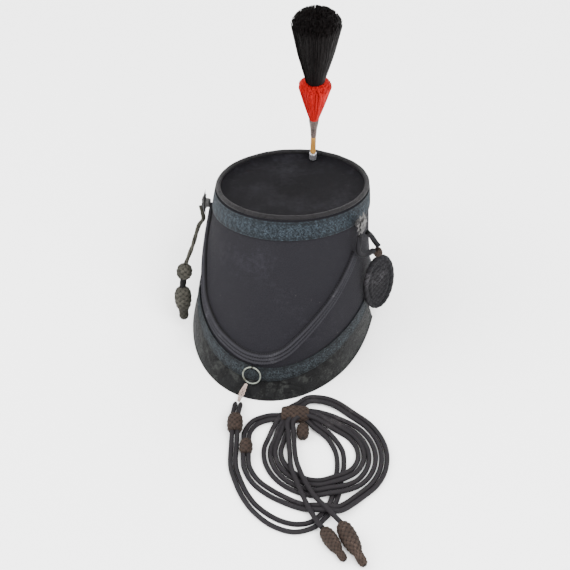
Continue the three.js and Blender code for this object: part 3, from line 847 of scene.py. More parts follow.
class CapLine:
    """The doubled cap line with its sliders, knots and acorns, lying on the floor."""

    RADIUS = 2.3
    START = [(-9.7, -127, 2.6, 2.5), (-8.6, -136, 4.2, 2.4), (-6.8, -146, 7.4, 2.4)]
    SLIDER_ONE = ((-6.5, -147, 7.8), (-1.7, -165, 7.8), 7.6, 5.2)
    LEAD = [(-4.2, -156, 7.8, 2.4), (-1.4, -166.2, 7.4, 2.4), (0.8, -176, 3.4, 2.4),
            (7, -199, 2.3, 2.4), (17, -216, 2.3, 2.5), (28, -230, 2.3, 2.7), (41, -241, 2.3, 3.2),
            (59, -249.5, 2.3, 4.0), (77, -251, 2.3, 4.2), (91, -244, 2.3, 3.2),
            (99, -231.5, 2.3, 2.6), (102.5, -220.5, 2.3, 2.5), (103.5, -208, 2.3, 2.5),
            (102.6, -196, 2.3, 2.5)]
    INNER = [(101, -184, 2.3, 2.6), (99.5, -173, 2.3, 3.0), (94, -158, 2.3, 3.2),
             (82, -145, 3.2, 2.6), (68, -138, 5.2, 2.4), (57, -131.5, 6.2, 2.4),
             (44, -132.8, 6.4, 2.4)]
    TURN = [(31.5, -136.5, 5.4, 2.4), (22, -138, 3.0, 2.6), (12, -146, 2.3, 2.8),
            (8.4, -158, 2.3, 2.5), (10.6, -170, 4.2, 2.4), (12.8, -178, 5, 2.4)]
    KNOT_TWO = ((10.7, -170.5, 5.6), (15.0, -185.5, 5.6), 6.4, 3.2)
    SWEEP = [(15, -186, 4.4, 2.4), (19.5, -198, 2.3, 2.5), (31, -211, 2.3, 2.9),
             (47, -219.5, 2.3, 3.2), (66, -225, 2.3, 2.8), (80, -227, 2.8, 2.5),
             (90, -227, 5.8, 2.5), (99, -226, 7.5, 2.5), (112, -222.5, 6.4, 2.5)]
    BIG_TURN = Turn(71.5, -167.5, 65.5, 58.5, -34, 68, 2.5)
    RETURN = [(79, -107, 4.8, 2.5), (66, -104.5, 4.4, 2.5), (53, -108, 5.2, 2.4),
              (46.5, -118, 6.6, 2.4), (40.5, -127.5, 8.6, 2.4), (35.6, -137, 6.6, 2.4),
              (32.4, -147.5, 3.2, 2.5)]
    MIDDLE_TURN = Turn(78.5, -167, 47.6, 43.4, 169, 439, 2.9)
    CROSSING = [(74, -123.2, 5.0, 2.4), (62, -126, 8.6, 2.4), (50, -130, 9.4, 2.4),
                (43.5, -138, 7.6, 2.4), (41.2, -148.5, 3.6, 2.4)]
    INNER_TURN = Turn(78, -165.5, 37.6, 33.4, 174, 432, 2.6)
    LEAVING = [(77, -131.2, 5.6, 2.4), (65, -129.6, 9.8, 2.4), (54, -130.5, 11.6, 2.4),
               (47, -136, 10.8, 2.4)]
    SLIDER_TWO = ((33.6, -134.5, 8.4), (58.6, -128.2, 8.4), 8.2, 5.8)
    KNOT_THREE = ((55.4, -139.4, 5.6), (59.6, -154.4, 5.6), 6.0, 3.2)
    TAIL_A = [(42.2, -143.2, 9.2), (46.2, -155, 7.4), (50, -167, 6.9), (53.8, -178, 6.9),
              (58.6, -191, 6.9), (66.5, -203.5, 6.9), (76, -217.5, 7.0), (84.5, -229, 7.0),
              (94, -240.4, 7.2), (102.2, -248.4, 8.2)]
    TAIL_B = [(47, -142.6, 9.2), (51, -154, 7.2), (55, -167, 6.9), (59.6, -179.4, 6.9),
              (65.4, -190, 6.9), (75, -203.4, 6.9), (87, -216.5, 7.2), (99.5, -227.4, 10.4),
              (108.4, -234, 10.2), (115.6, -239, 9.4)]
    ACORN_A = ((102.7, -248.8, 8.2), (128.6, -273.8, 4.8), 7.2, 3.0)
    ACORN_B = ((116.2, -239.5, 9.4), (146, -274.8, 5.2), 8.2, 3.4)
    WORN = [(-6.6, -111, 11), (-7.7, -114.5, 8.8), (-8.7, -118.5, 6.2), (-9.5, -122.5, 3.8),
            (-9.8, -126, 2.6)]

    def strand(self, side: int, tail: list[tuple[float, float, float]]) -> np.ndarray:
        """Route one strand from the worn loop to its acorn.

        Args:
            side: +1 for the strand on the left of the way it runs, -1 for the right.
            tail: The strand's own last points.

        Returns:
            Points along it in metres.
        """
        rows = (self.START + self.LEAD + self.INNER + self.TURN + self.SWEEP
                + self.BIG_TURN.rows() + self.RETURN + self.MIDDLE_TURN.rows() + self.CROSSING
                + self.INNER_TURN.rows() + self.LEAVING)
        middle = np.array(rows)
        heading = unit(np.gradient(middle[:, :2], axis=0))
        aside = np.stack([-heading[:, 1], heading[:, 0]], axis=1)
        points = middle[:, :3].copy()
        points[:, :2] += side * middle[:, 3:] * aside
        return place(smooth_path(np.vstack([points, tail]), 1.5))

    def knot(self, name: str, ends: tuple, turns: float, strands: int, material: bpy.types.Material,
             acorn: bool = False, slot: Slot = Slot.KNOT) -> bpy.types.Object:
        """Make a turk's head knot or a netted acorn between two points.

        Args:
            name: The piece's name, which is its frame node's with _net added.
            ends: Start, end, radius and end radius in millimetres.
            turns: Strands passed along it.
            strands: Strands passed round it.
            material: Its material.
            acorn: Whether it is an acorn, full near its start and slim at its tip.
            slot: The record's slot.

        Returns:
            The piece.
        """
        start, end, radius, end_radius = ends
        share = np.linspace(0, 1, 64)
        if acorn:
            along = np.array([0, 0.04, 0.12, 0.28, 0.45, 0.6, 0.68, 0.74, 0.86, 0.95, 1.0])
            reach = np.array([0.35, 0.62, 0.86, 0.97, 0.94, 0.8, 0.62, 0.52, 0.56, 0.5, 0.28])
            outline = np.interp(share, along, reach) * radius
        else:
            outline = end_radius + (radius - end_radius) * np.sqrt(
                np.maximum(1 - (2 * share - 1) ** 2, 0))
            outline = outline * np.clip(np.minimum(share, 1 - share) * 22 + 0.55, 0, 1)
        strand = 0.13 * radius
        middle = (outline - strand) * MM
        path = place(np.linspace(start, end, 64))
        rows, height = sweep(
            path, middle, 72,
            lambda s, w: strand * MM * weave_height(s * turns, w * strands, 0.6))
        piece = Skin.build(name + "_net", rows, relief=height / (strand * MM), sharp=180)
        return dress(piece, material, slot, name)

    def build(self, looks: Wardrobe) -> list[bpy.types.Object]:
        """Make the line and everything on it.

        Args:
            looks: The materials.

        Returns:
            The pieces.
        """
        knot = looks.knot
        sliders = [self.knot("slider_one", self.SLIDER_ONE, 3.5, 9, knot),
                   self.knot("knot_two", self.KNOT_TWO, 3, 6, knot),
                   self.knot("slider_two", self.SLIDER_TWO, 4.5, 10, knot),
                   self.knot("knot_three", self.KNOT_THREE, 3, 6, knot)]
        acorns = [self.knot("acorn_a", self.ACORN_A, 9, 7, knot, acorn=True),
                  self.knot("acorn_b", self.ACORN_B, 9, 8, knot, acorn=True)]
        parts = ["line_start", "line_lead", "line_inner", "line_turn", "line_sweep", "line_return"]
        made = []
        for side, letter, tail, acorn, extra in (
                (1, "a", self.TAIL_B, acorns[1], ("line_coil", "line_tail_b")),
                (-1, "b", self.TAIL_A, acorns[0], ("line_tail_a",))):
            path = self.strand(side, tail)
            fray = np.clip(np.linspace(0, len(path), len(path)) / 3.0 + 0.5, 0.5, 1.0)
            rows, _ = sweep(path, self.RADIUS * MM * fray, 14)
            piece = Skin.build(f"cap_line_{letter}", rows)
            dress(piece, looks.line, Slot.LINE, *[f"{part}_{letter}" for part in parts], *extra)
            made.append(piece)
        made.append(self.worn_loop(looks.worn))
        return made + sliders + acorns

    def worn_loop(self, material: bpy.types.Material) -> bpy.types.Object:
        """Make the frayed thread loop that ties the line to the ring.

        Args:
            material: Its material.

        Returns:
            The piece.
        """
        middle = smooth_path(self.WORN, 0.5)
        share = np.linspace(0, 1, len(middle))
        work = []
        for k in range(5):
            phase = 2 * math.pi * k / 5
            swing = 1.0 + 1.2 * np.sin(math.pi * share) ** 2
            yarn = middle + np.stack([
                swing * np.cos(phase + 7 * share), 0.3 * np.sin(phase + 5 * share),
                0.5 + 0.6 * np.sin(phase + 7 * share)], axis=1)
            work.append(sweep(place(yarn), (0.62 - 0.18 * share) * MM, 8)[0])
        pieces = [Skin.build(f"worn_yarn_{k}", rows) for k, rows in enumerate(work)]
        joined = join("worn_loop_yarns", pieces)
        return dress(joined, material, Slot.WORN, "worn_loop")


def join(name: str, pieces: Sequence[bpy.types.Object]) -> bpy.types.Object:
    """Join pieces into one that rides on the frame's body.

    Args:
        name: The new piece's name.
        pieces: Pieces to join, which are used up.

    Returns:
        The joined piece.
    """
    work = bmesh.new()
    for piece in pieces:
        work.from_mesh(piece.data)
    mesh = bpy.data.meshes.new(name)
    work.to_mesh(mesh)
    work.free()
    mesh.polygons.foreach_set("use_smooth", [True] * len(mesh.polygons))
    for piece in pieces:
        bpy.data.objects.remove(piece)
    return Skin.to_object(name, mesh)


class HatBody:
    """The cloth wall, the sunk crown, the leather rim and the two peaks."""

    WALL = 3.0
    GAP = 0.35
    RIM_SINK = 0.7
    RIM_HEIGHT = 4.4
    RIM_WIDTH = 4.6
    DISC_DROP = 4.2
    DISC_THICKNESS = 2.4
    DISC_INSET = 2.9
    STEPS = 288
    SOCKET_ANGLE = math.pi - 0.03

    def turn(self, steps: Optional[int] = None) -> np.ndarray:
        """Angles once round the hat, without the last, as a column."""
        return np.linspace(0, 2 * math.pi, steps or self.STEPS, endpoint=False)[:, None]

    def wall(self, looks: Wardrobe) -> bpy.types.Object:
        """Make the cloth wall with its lining."""
        angle = self.turn()
        outer, inner = np.linspace(0, 1, 44), np.linspace(1, 0, 18)
        rise = np.concatenate([outer, inner])[None]
        lumps = 0.28 * (np.sin(5 * angle + 9 * rise) * np.sin(3 * rise + 2 * angle)
                        + 0.6 * np.sin(11 * angle - 6 * rise))
        lumps = lumps * np.sin(math.pi * np.clip(rise, 0, 1)) - 0.1
        out = np.where(np.arange(rise.size)[None] < outer.size, lumps, -self.WALL)
        piece = Skin.build("cloth_wall", place(HAT.wall(angle, rise, out)), ring=True, sharp=50)
        dress(piece, looks.body, Slot.BODY, "body")
        piece.data.materials.append(looks.lining)
        columns = outer.size + inner.size
        lined = [1 if outer.size + 3 <= index % columns < columns - 1 else 0
                 for index in range(len(piece.data.polygons))]
        piece.data.polygons.foreach_set("material_index", lined)
        return piece

    def crown(self, looks: Wardrobe) -> bpy.types.Object:
        """Make the crown's cloth disc, a little slack and dented."""
        edge = 1 - self.DISC_INSET / HAT.crown_half_width
        angle = self.turn(192)
        shares = np.concatenate([(np.linspace(0, 1, 40) ** 0.6) * edge, np.linspace(edge, 0, 12)])[None]
        upper = np.arange(shares.size)[None] < 40
        dents = (0.5 * np.sin(6 * shares * np.cos(angle) + 1) * np.sin(5 * shares * np.sin(angle))
                 - 0.7 * (1 - (shares / edge) ** 2) + 3.9 * (shares / edge) ** 26)
        height = np.where(upper, -self.DISC_DROP - 0.3 + dents,
                          -self.DISC_DROP - self.DISC_THICKNESS + 0 * dents)
        piece = Skin.build("crown_disc", place(HAT.crown(angle, shares, height)), ring=True,
                           tube=False, sharp=50)
        return dress(piece, looks.crown, Slot.BODY, "crown_top")

    def rim(self, looks: Wardrobe) -> bpy.types.Object:
        """Make the rolled leather rim, lifted a little round the plume's socket."""
        angle = self.turn(360)
        turn = np.linspace(0, 2 * math.pi, 28, endpoint=False)[None]
        near = np.exp(-(((angle - self.SOCKET_ANGLE) / 0.07) ** 2))
        uneven = 0.22 * np.sin(9 * angle) + 0.14 * np.sin(23 * angle + 1)
        width = 0.5 * self.RIM_WIDTH + 0.1 * uneven
        out = width * np.cos(turn) - 1.2 - 1.4 * near * (np.cos(turn) < 0.2)
        height = (0.5 * self.RIM_HEIGHT * (1 + np.sin(turn)) - self.RIM_SINK
                  + (uneven * 0.5 + 0.9 * near) * (np.sin(turn) > 0.2))
        welt = 0.35 * np.exp(-(((turn - 0.55) / 0.16) ** 2))
        rows = place(HAT.crown(angle, 1.0, height, out - welt))
        piece = Skin.build("rim_roll", rows, ring=True, relief=1 - 2 * welt + 0 * angle, sharp=70)
        return dress(piece, looks.binding, Slot.BINDING, "crown_rim")

    def peak(self, looks: Wardrobe, name: str, facing: float, reach: float, spread: float,
             half_angle: float, end_lift: float) -> bpy.types.Object:
        """Make a leather peak that slopes from the wall's lower edge to the floor.

        Args:
            looks: The materials.
            name: The frame node that it stands for.
            facing: 0 for the rear, half a turn for the front.
            reach: Millimetres out at the middle.
            spread: Millimetres out at the side.
            half_angle: Degrees from its middle to its end.
            end_lift: Height of its ends above the floor.

        Returns:
            The piece.
        """
        thickness, roll, flat = 2.2, 1.15, 0.6
        half = math.radians(half_angle)
        share = np.linspace(-1, 1, 200)[:, None]
        angle = facing + share * half
        aside = np.maximum(0, np.abs(share) - flat) / (1 - flat)
        lip = np.stack([np.sin(angle) * (spread + HAT.base_half_width),
                        -np.cos(angle) * (reach + HAT.base_half_length),
                        end_lift * aside**2], axis=-1)[:, 0]
        inner = HAT.wall(angle[:, 0], 0.0)
        inner[:, 2] -= self.GAP
        along = np.linspace(0, 1, 26)
        top = inner[:, None] + (lip - inner)[:, None] * along[None, :, None]
        top[..., 2] = inner[:, None, 2] + (
            lip[:, None, 2] + thickness - inner[:, None, 2]) * along[None] ** roll
        crease = (0.5 * np.sin(34 * share + 7 * along) * np.sin(9 * share + 3)
                  + 0.35 * np.sin(61 * share - 13 * along)) * np.sin(math.pi * along) * 0.7
        top[..., 2] += crease
        inward = np.stack([-np.sin(angle[:, 0]), np.cos(angle[:, 0]), 0 * angle[:, 0]], axis=-1)
        edge_turn = np.linspace(math.pi / 2, -math.pi / 2, 8)[None, :, None]
        edge = lip[:, None] + np.array([0, 0, thickness / 2])
        edge = edge - inward[:, None] * 1.0 * np.cos(edge_turn) * 0.6
        edge[..., 2] += 0.5 * thickness * np.sin(edge_turn[..., 0])
        under = top[:, ::-1] + inward[:, None] * thickness
        under[..., 2] = np.maximum(under[..., 2] - thickness, lip[:, None, 2])
        section = np.concatenate([top[:, :-1], edge, under[:, 1:]], axis=1)
        piece = Skin.build(name + "_leather", place(section), sharp=50)
        return dress(piece, looks.peak, Slot.PEAK, name)

    def build(self, looks: Wardrobe) -> list[bpy.types.Object]:
        """Make the body's pieces.

        Args:
            looks: The materials.

        Returns:
            The pieces.
        """
        return [self.wall(looks), self.crown(looks), self.rim(looks),
                self.peak(looks, "rear_peak", 0.0, 14, 5, 92, 12),
                self.peak(looks, "front_peak", math.pi, 36.5, 4, 80, 13)]


class LaceBands:
    """The two patterned lace bands round the wall."""

    THICKNESS = 1.3
    GAP = 0.35
    STEPS = 900

    def band(self, looks: bpy.types.Material, name: str, low: Callable, width: float,
             repeat: float) -> bpy.types.Object:
        """Make a band with its raised motif.

        Args:
            looks: The material.
            name: The frame node that it stands for.
            low: Gives the millimetres up the slope of its lower edge from the slope's length.
            width: Millimetres from edge to edge.
            repeat: Times that the motif goes round the hat.

        Returns:
            The piece.
        """
        angle = np.linspace(0, 2 * math.pi, self.STEPS, endpoint=False)[:, None]
        rows = 26
        across = np.linspace(0, 1, rows)[None]
        slope = HAT.slope(angle)
        rise = (low(slope) + width * across) / slope
        figure = self.motif(angle, across, repeat)
        front = HAT.wall(angle, rise, self.GAP + self.THICKNESS - 0.5 + 0.55 * figure)
        back = HAT.wall(angle, rise[:, ::-1], self.GAP)[:, 1:-1]
        relief = np.concatenate([figure, np.ones((self.STEPS, rows - 2))], axis=1)
        piece = Skin.build(name + "_lace", place(np.concatenate([front, back], axis=1)), ring=True,
                           relief=relief, sharp=180)
        return dress(piece, looks, Slot.LACE, name)

    @staticmethod
    def motif(angle: np.ndarray, across: np.ndarray, repeat: float) -> np.ndarray:
        """Height of a running scroll of leaves between two plain edges.

        Args:
            angle: Radians round the hat.
            across: Share of the way across the band.
            repeat: Times that the motif goes round the hat.

        Returns:
            Height from 0 to 1.
        """
        run = angle * repeat
        drift = 0.9 * np.sin(angle * 7 + 2) + 0.7 * np.sin(angle * 13)
        stem = 0.5 + 0.2 * np.sin(run + drift)
        vine = np.exp(-(((across - stem) / 0.06) ** 2))
        slant = 17 * (across - 0.5)
        leaf_one = np.abs(np.sin(run * 2.0 + slant + drift)) ** 3
        leaf_two = np.abs(np.sin(run * 3.0 - 1.3 * slant + 2 * drift)) ** 3
        leaf_three = np.abs(np.sin(run * 5.0 + 0.5 * slant - drift)) ** 4
        leaves = np.maximum(0.85 * leaf_one, np.maximum(0.75 * leaf_two, 0.6 * leaf_three))
        middle = np.exp(-(((across - 0.5) / 0.4) ** 6))
        edges = np.exp(-(((across - 0.05) / 0.03) ** 2)) + np.exp(-(((across - 0.95) / 0.03) ** 2))
        ribs = 0.2 * np.sin(angle * 420) ** 2
        return np.clip(np.maximum(0.8 * vine, middle * leaves) + 0.55 * edges + ribs, 0, 1)

    def build(self, looks: Wardrobe) -> list[bpy.types.Object]:
        """Make both bands.

        Args:
            looks: The materials.

        Returns:
            The pieces.
        """
        return [
            self.band(looks.upper_lace, "upper_lace_band", lambda slope: slope - 1.6 - 18.4, 18.4, 34),
            self.band(looks.lower_lace, "lower_lace_band", lambda slope: 0.5 + 0 * slope, 14.5, 40),
        ]


class Festoon:
    """The plait that hangs across the rear, three cords side by side."""

    WIDTH = 10.5
    THICKNESS = 3.2
    NEAR = 2.0
    CORDS = 3
    ROUTE = [(-84, 78), (-79, 64), (-72, 50), (-63, 38), (-52, 25), (-36, 18.5), (-22, 16.5),
             (-7, 14.5), (7, 15), (18, 18.5), (28, 25.5), (38, 33), (51, 43), (62, 54.5),
             (69, 63)]

    def build(self, looks: Wardrobe) -> list[bpy.types.Object]:
        """Make the festoon.

        Args:
            looks: The materials.

        Returns:
            The pieces.
        """
        scaled = [(angle * 1.5, rise) for angle, rise in self.ROUTE]
        route = smooth_path(scaled, 0.4)
        angle, rise = np.radians(route[:, 0] / 1.5), route[:, 1] / 100
        length = HAT.slope(angle)
        girth = np.hypot(HAT.base_half_width * np.cos(angle), HAT.base_half_length * np.sin(angle))
        heading = unit(np.stack([np.gradient(angle) * girth, np.gradient(rise) * length], axis=1))
        shift = self.WIDTH * np.linspace(-0.5, 0.5, 34)[None]
        across = np.linspace(0, 1, 34)[None]
        path = HAT.wall(angle, rise, 0.0)
        run = np.concatenate([[0], np.cumsum(np.linalg.norm(np.diff(path, axis=0), axis=1))])[:, None]
        cord = np.abs(np.sin(math.pi * self.CORDS * across)) ** 0.6
        plait = weave_height(run / 2.4, across * self.CORDS * 0.5 + 0 * run, 0.55)
        plaited = np.clip((angle[:, None] - math.radians(-30)) / 0.5, 0, 1)
        twist = 0.16 * np.sin(math.pi * (run / 1.9 + 2 * across)) ** 2
        figure = (cord - twist) * (1 - 0.35 * plaited) + 0.35 * plaited * plait
        up = rise * length
        over_lace = np.clip(np.maximum((17.5 - up) / 2, (up - length + 23) / 2), 0, 1)[:, None]
        near = 0.3 + (self.NEAR - 0.3) * over_lace
        top = HAT.wall(angle[:, None] - heading[:, 1:] * shift / girth[:, None],
                       rise[:, None] + heading[:, :1] * shift / length[:, None],
                       near + (self.THICKNESS + 0.9) * (0.12 + 0.88 * figure))
        low = HAT.wall(angle[:, None] - heading[:, 1:] * shift[:, ::-1] / girth[:, None],
                       rise[:, None] + heading[:, :1] * shift[:, ::-1] / length[:, None], near)
        relief = np.concatenate([figure, np.ones(low.shape[:2])], axis=1)
        piece = Skin.build("festoon_plait", place(np.concatenate([top, low], axis=1)),
                           relief=relief, sharp=180)
        return [dress(piece, looks.plait, Slot.PLAIT, "festoon")]


class RearRing:
    """The wire ring at the rear and the eye that holds it."""

    X = -3.0
    Z = 18.6
    RADIUS = 8.4
    WIRE = 0.72
    STAND_OFF = 3.3
    EYE_RADIUS = 1.9
    EYE_WIRE = 0.55
    EYE_STAND_OFF = 0.4

    @staticmethod
    def hoop(name: str, centre: np.ndarray, first: np.ndarray, second: np.ndarray, radius: float,
             wire: float) -> bpy.types.Object:
        """Make a round wire ring.

        Args:
            name: The piece's name.
            centre: Its middle in hat millimetres.
            first: One unit vector of its plane.
            second: The other.
            radius: Radius to the middle of the wire.
            wire: Radius of the wire.

        Returns:
            The piece.
        """
        turn = np.linspace(0, 2 * math.pi, 96, endpoint=False)[:, None, None]
        round_wire = np.linspace(0, 2 * math.pi, 16, endpoint=False)[None, :, None]
        away = first * np.cos(turn) + second * np.sin(turn)
        axis = np.cross(first, second)
        rows = centre + away * (radius + wire * np.cos(round_wire)) + axis * wire * np.sin(round_wire)
        return Skin.build(name, place(rows), ring=True, sharp=180)

    def build(self, looks: Wardrobe) -> list[bpy.types.Object]:
        """Make the ring and its eye.

        Args:
            looks: The materials.

        Returns:
            The pieces.
        """
        low, high = HAT.wall(0.0, 0.0), HAT.wall(0.0, 1.0)
        slope = unit(high - low)
        spot = HAT.wall(0.0, (self.Z - low[2]) / (high[2] - low[2]), self.STAND_OFF + self.WIRE)
        spot = np.array([self.X, spot[1], self.Z])
        across = np.array([1.0, 0.0, 0.0])
        ring = self.hoop("ring_wire", spot, across, slope, self.RADIUS, self.WIRE)
        top = spot + slope * self.RADIUS - np.array([0, self.EYE_STAND_OFF, 0])
        eye = self.hoop("eye_wire", top, np.array([0.0, 1.0, 0.0]), np.array([0.0, 0.0, 1.0]),
                        self.EYE_RADIUS, self.EYE_WIRE)
        return [dress(ring, looks.ring, Slot.RING, "rear_ring"),
                dress(eye, looks.link, Slot.PLAIT, "ring_eye")]


class SideTrims:
    """The bosses, and the drops that hang below them at the sides."""

    BOSS_RADIUS = 12.0
    LEFT_CORD = [(-84.5, 7.5, 113), (-82.6, 5.2, 107), (-81, 3, 101), (-84.5, 0, 95), (-86, -5, 88), (-87.5, -12, 79),
                 (-89.5, -20, 71), (-91, -26, 65.5)]
    LEFT_KNOT = ((-91, -27, 66), (-91.5, -32, 52), 7.8, 3.0)
    LEFT_LINK = [(-91.5, -32.3, 52.4), (-91.5, -37, 44.4)]
    LEFT_ACORN = ((-91.5, -36.6, 45.5), (-87.6, -48, 13.5), 8.8, 3.0)
    RIGHT_LOOP = [(74.5, -14.5, 133), (75, -21, 121), (79.5, -17, 113.5), (86.6, -7.4, 111.6)]
    RIGHT_CORD = [(78.6, -1.4, 127.5), (82.5, 1.6, 119), (89.4, -0.4, 111.4)]
    RIGHT_COLLAR = ((88.4, -4, 110), (90.6, -3.6, 104.4), 4.6, 3.6)
    FLOUNDER_AT = np.array([92, -3.5, 69.0])
    FLOUNDER_HALF = (15.0, 34.5)
    FLOUNDER_TURN = math.radians(40)

    def boss(self, looks: Wardrobe, degrees: float, name: str) -> bpy.types.Object:
        """Make a boss: two rings of ridged, pointed leaves about a bead.

        Args:
            looks: The materials.
            degrees: Where on the wall it sits, from the rear, plus to the right.
            name: The frame node that it stands for.

        Returns:
            The piece.
        """
        angle = math.radians(degrees)
        away = np.array([math.sin(angle), -math.cos(angle), 0.0])
        along = np.array([math.cos(angle), math.sin(angle), 0.0])
        low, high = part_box(name)
        middle = (np.array(low) + np.array(high)) / 2 / MM + HAT_SHIFT
        rng = np.random.default_rng(7)
        leaves = []
        for layer, (count, reach, lift) in enumerate(((9, 1.0, -1.2), (7, 0.66, 0.6))):
            for k in range(count):
                turn = 2 * math.pi * (k + 0.5 * layer) / count + rng.uniform(-0.12, 0.12)
                direction = 0.72 * math.cos(turn) * along + 1.2 * math.sin(turn) * np.array([0, 0, 1.0])
                length = self.BOSS_RADIUS * reach * rng.uniform(0.86, 1.02)
                sideways = unit(np.cross(direction, away))
                share = np.linspace(0.02, 1, 14)[:, None]
                width = 2.4 * np.sin(math.pi * share**0.7) ** 0.8 + 0.12
                ripple = 1 + 0.22 * np.sin(share * 22)
                round_leaf = np.linspace(0, 2 * math.pi, 12, endpoint=False)[None]
                over = width * ripple * np.cos(round_leaf)
                proud = (0.85 * np.sin(round_leaf) * width / 2.4
                         - 0.5 * np.exp(-((over / 0.5) ** 2)) * (np.sin(round_leaf) > 0))
                rows = (middle + direction * (length * share)[..., None]
                        + sideways * over[..., None]
                        + away * (lift + 1.3 * np.sin(2.4 * share) + proud)[..., None])
                leaves.append(Skin.build(f"leaf_{layer}_{k}", place(rows), sharp=180,
                                         relief=np.clip(0.4 + proud, 0, 1) + 0 * share))
        stub = np.linspace(middle - away * 5.2, middle + away * 2.6, 24)
        bead = 4.4 * np.sqrt(np.maximum(1 - np.linspace(-0.55, 1, 24) ** 2, 0.01))
        leaves.append(Skin.build("boss_bead", sweep(place(stub), bead * MM, 28)[0], sharp=180))
        piece = join(name + "_leaves", leaves)
        return dress(piece, looks.boss, Slot.BOSS, name)

    def twisted(self, name: str, points: Sequence[tuple], radius: float,
                material: bpy.types.Material, slot: Slot, node: str, strands: int = 2
                ) -> tuple[bpy.types.Object, np.ndarray]:
        """Make a cord with the ridges of its laid strands.

        Args:
            name: The piece's name.
            points: Its route in hat millimetres.
            radius: Its radius in millimetres.
            material: Its material.
            slot: The record's slot.
            node: The frame node that it stands for.
            strands: Strands laid round each other.

        Returns:
            The piece and the points along it in metres.
        """
        path = place(smooth_path(points, 0.5))
        length = float(np.linalg.norm(np.diff(path, axis=0), axis=1).sum()) / MM

        def lay(share: np.ndarray, around: np.ndarray) -> np.ndarray:
            """Height of the laid strands."""
            turns = length / (6.0 * radius)
            wave = np.abs(np.sin(math.pi * strands * (around + turns * share / strands)))
            return (wave**0.6 - 1) * 0.28 * radius * MM

        rows, height = sweep(path, radius * MM, 24, lay)
        piece = Skin.build(name, rows, relief=1 + height / (0.28 * radius * MM), sharp=180)
        dress(piece, material, slot, node)
        return piece, path

    def flounder(self, looks: Wardrobe) -> bpy.types.Object:
        """Make the oval flounder: a woven middle in a border of two laid cords."""
        level = np.array([math.cos(self.FLOUNDER_TURN), math.sin(self.FLOUNDER_TURN), 0.0])
        up = np.array([0.0, 0.0, 1.0])
        away = np.cross(up, level) * -1.0
        half_x, half_z = self.FLOUNDER_HALF
        share = np.linspace(0, 0.86, 44)
        turn = np.linspace(0, 2 * math.pi, 120, endpoint=False)[:, None]
        x = np.cos(turn) * share * half_x
        z = np.sin(turn) * share * half_z
        net = weave_height(x / 5.2 + 20, z / 6.4 + 20, 0.6)
        dome = 0.9 * np.sqrt(1 - share**2)
        halves = []
        for sign in (1, -1):
            face = (self.FLOUNDER_AT + level * x[..., None] + up * z[..., None]
                    + away * (sign * (dome + 0.9 * net))[..., None])
            halves.append(face if sign == 1 else face[:, ::-1])
        rows = np.concatenate(halves, axis=1)
        relief = np.concatenate([net, net[:, ::-1]], axis=1)
        pieces = [Skin.build("flounder_middle", place(rows), ring=True, tube=False, relief=relief,
                             sharp=180)]
        for offset, radius in ((0.87, 2.7), (0.56, 2.3)):
            loop = np.linspace(0, 2 * math.pi, 240, endpoint=False)
            path = (self.FLOUNDER_AT + level * (np.cos(loop) * (half_x * offset + 0.2))[:, None]
                    + up * (np.sin(loop) * (half_z * offset + 1.6))[:, None])
            pieces.append(self.border(path, radius, away))
        piece = join("flounder_woven", pieces)
        return dress(piece, looks.looped, Slot.PLAIT, "right_flounder")

    @staticmethod
    def border(path: np.ndarray, radius: float, away: np.ndarray) -> bpy.types.Object:
        """Make a closed laid cord round the flounder.

        Args:
            path: Points of the loop in hat millimetres, without the first again.
            radius: The cord's radius.
            away: Unit vector square to the loop's plane.

        Returns:
            The piece.
        """
        ahead = unit(np.roll(path, -1, axis=0) - np.roll(path, 1, axis=0))
        outward = np.cross(ahead, away)
        turn = np.linspace(0, 2 * math.pi, 16, endpoint=False)[None]
        share = np.linspace(0, 1, len(path), endpoint=False)[:, None]
        lay = np.abs(np.sin(turn + 22 * math.pi * share)) ** 0.7
        reach = radius * (0.8 + 0.2 * lay)
        rows = (path[:, None] + (reach * np.cos(turn))[..., None] * outward[:, None]
                + (reach * np.sin(turn))[..., None] * away)
        return Skin.build("flounder_border", place(rows), ring=True, relief=lay, sharp=180)

    def build(self, looks: Wardrobe, maker: CapLine) -> list[bpy.types.Object]:
        """Make the trims of both sides.

        Args:
            looks: The materials.
            maker: Makes the knots, as on the cap line.

        Returns:
            The pieces.
        """
        made = [self.boss(looks, 68, "right_boss"), self.boss(looks, -82, "left_boss")]
        knot = maker.knot("left_knot", self.LEFT_KNOT, 3, 7, looks.old, slot=Slot.OLD_TRIM)
        acorn = maker.knot("left_acorn", self.LEFT_ACORN, 7, 7, looks.old, acorn=True,
                           slot=Slot.OLD_TRIM)
        link, _ = self.twisted("link_cord", self.LEFT_LINK, 3.2, looks.link, Slot.PLAIT, "left_link")
        cord, path = self.twisted("drop_cord", self.LEFT_CORD, 2.1, looks.old, Slot.OLD_TRIM,
                                  "left_drop_cord")
        loop, _ = self.twisted("loop_cord", self.RIGHT_LOOP, 2.8, looks.looped, Slot.PLAIT,
                               "right_loop", 3)
        side, _ = self.twisted("side_cord", self.RIGHT_CORD, 2.6, looks.looped, Slot.PLAIT,
                               "right_cord", 3)
        collar = maker.knot("right_collar", self.RIGHT_COLLAR, 2, 7, looks.knot)
        return made + [knot, acorn, link, cord, loop, side, collar, self.flounder(looks)]


@dataclass(frozen=True)
class Tuft:
    """One tuft of the plume, as heights and radii in millimetres."""

    name: str
    node: str
    slot: Slot
    outline: Sequence[tuple[float, float]]
    count: int
    thick: float
    ragged: float
    seed: int


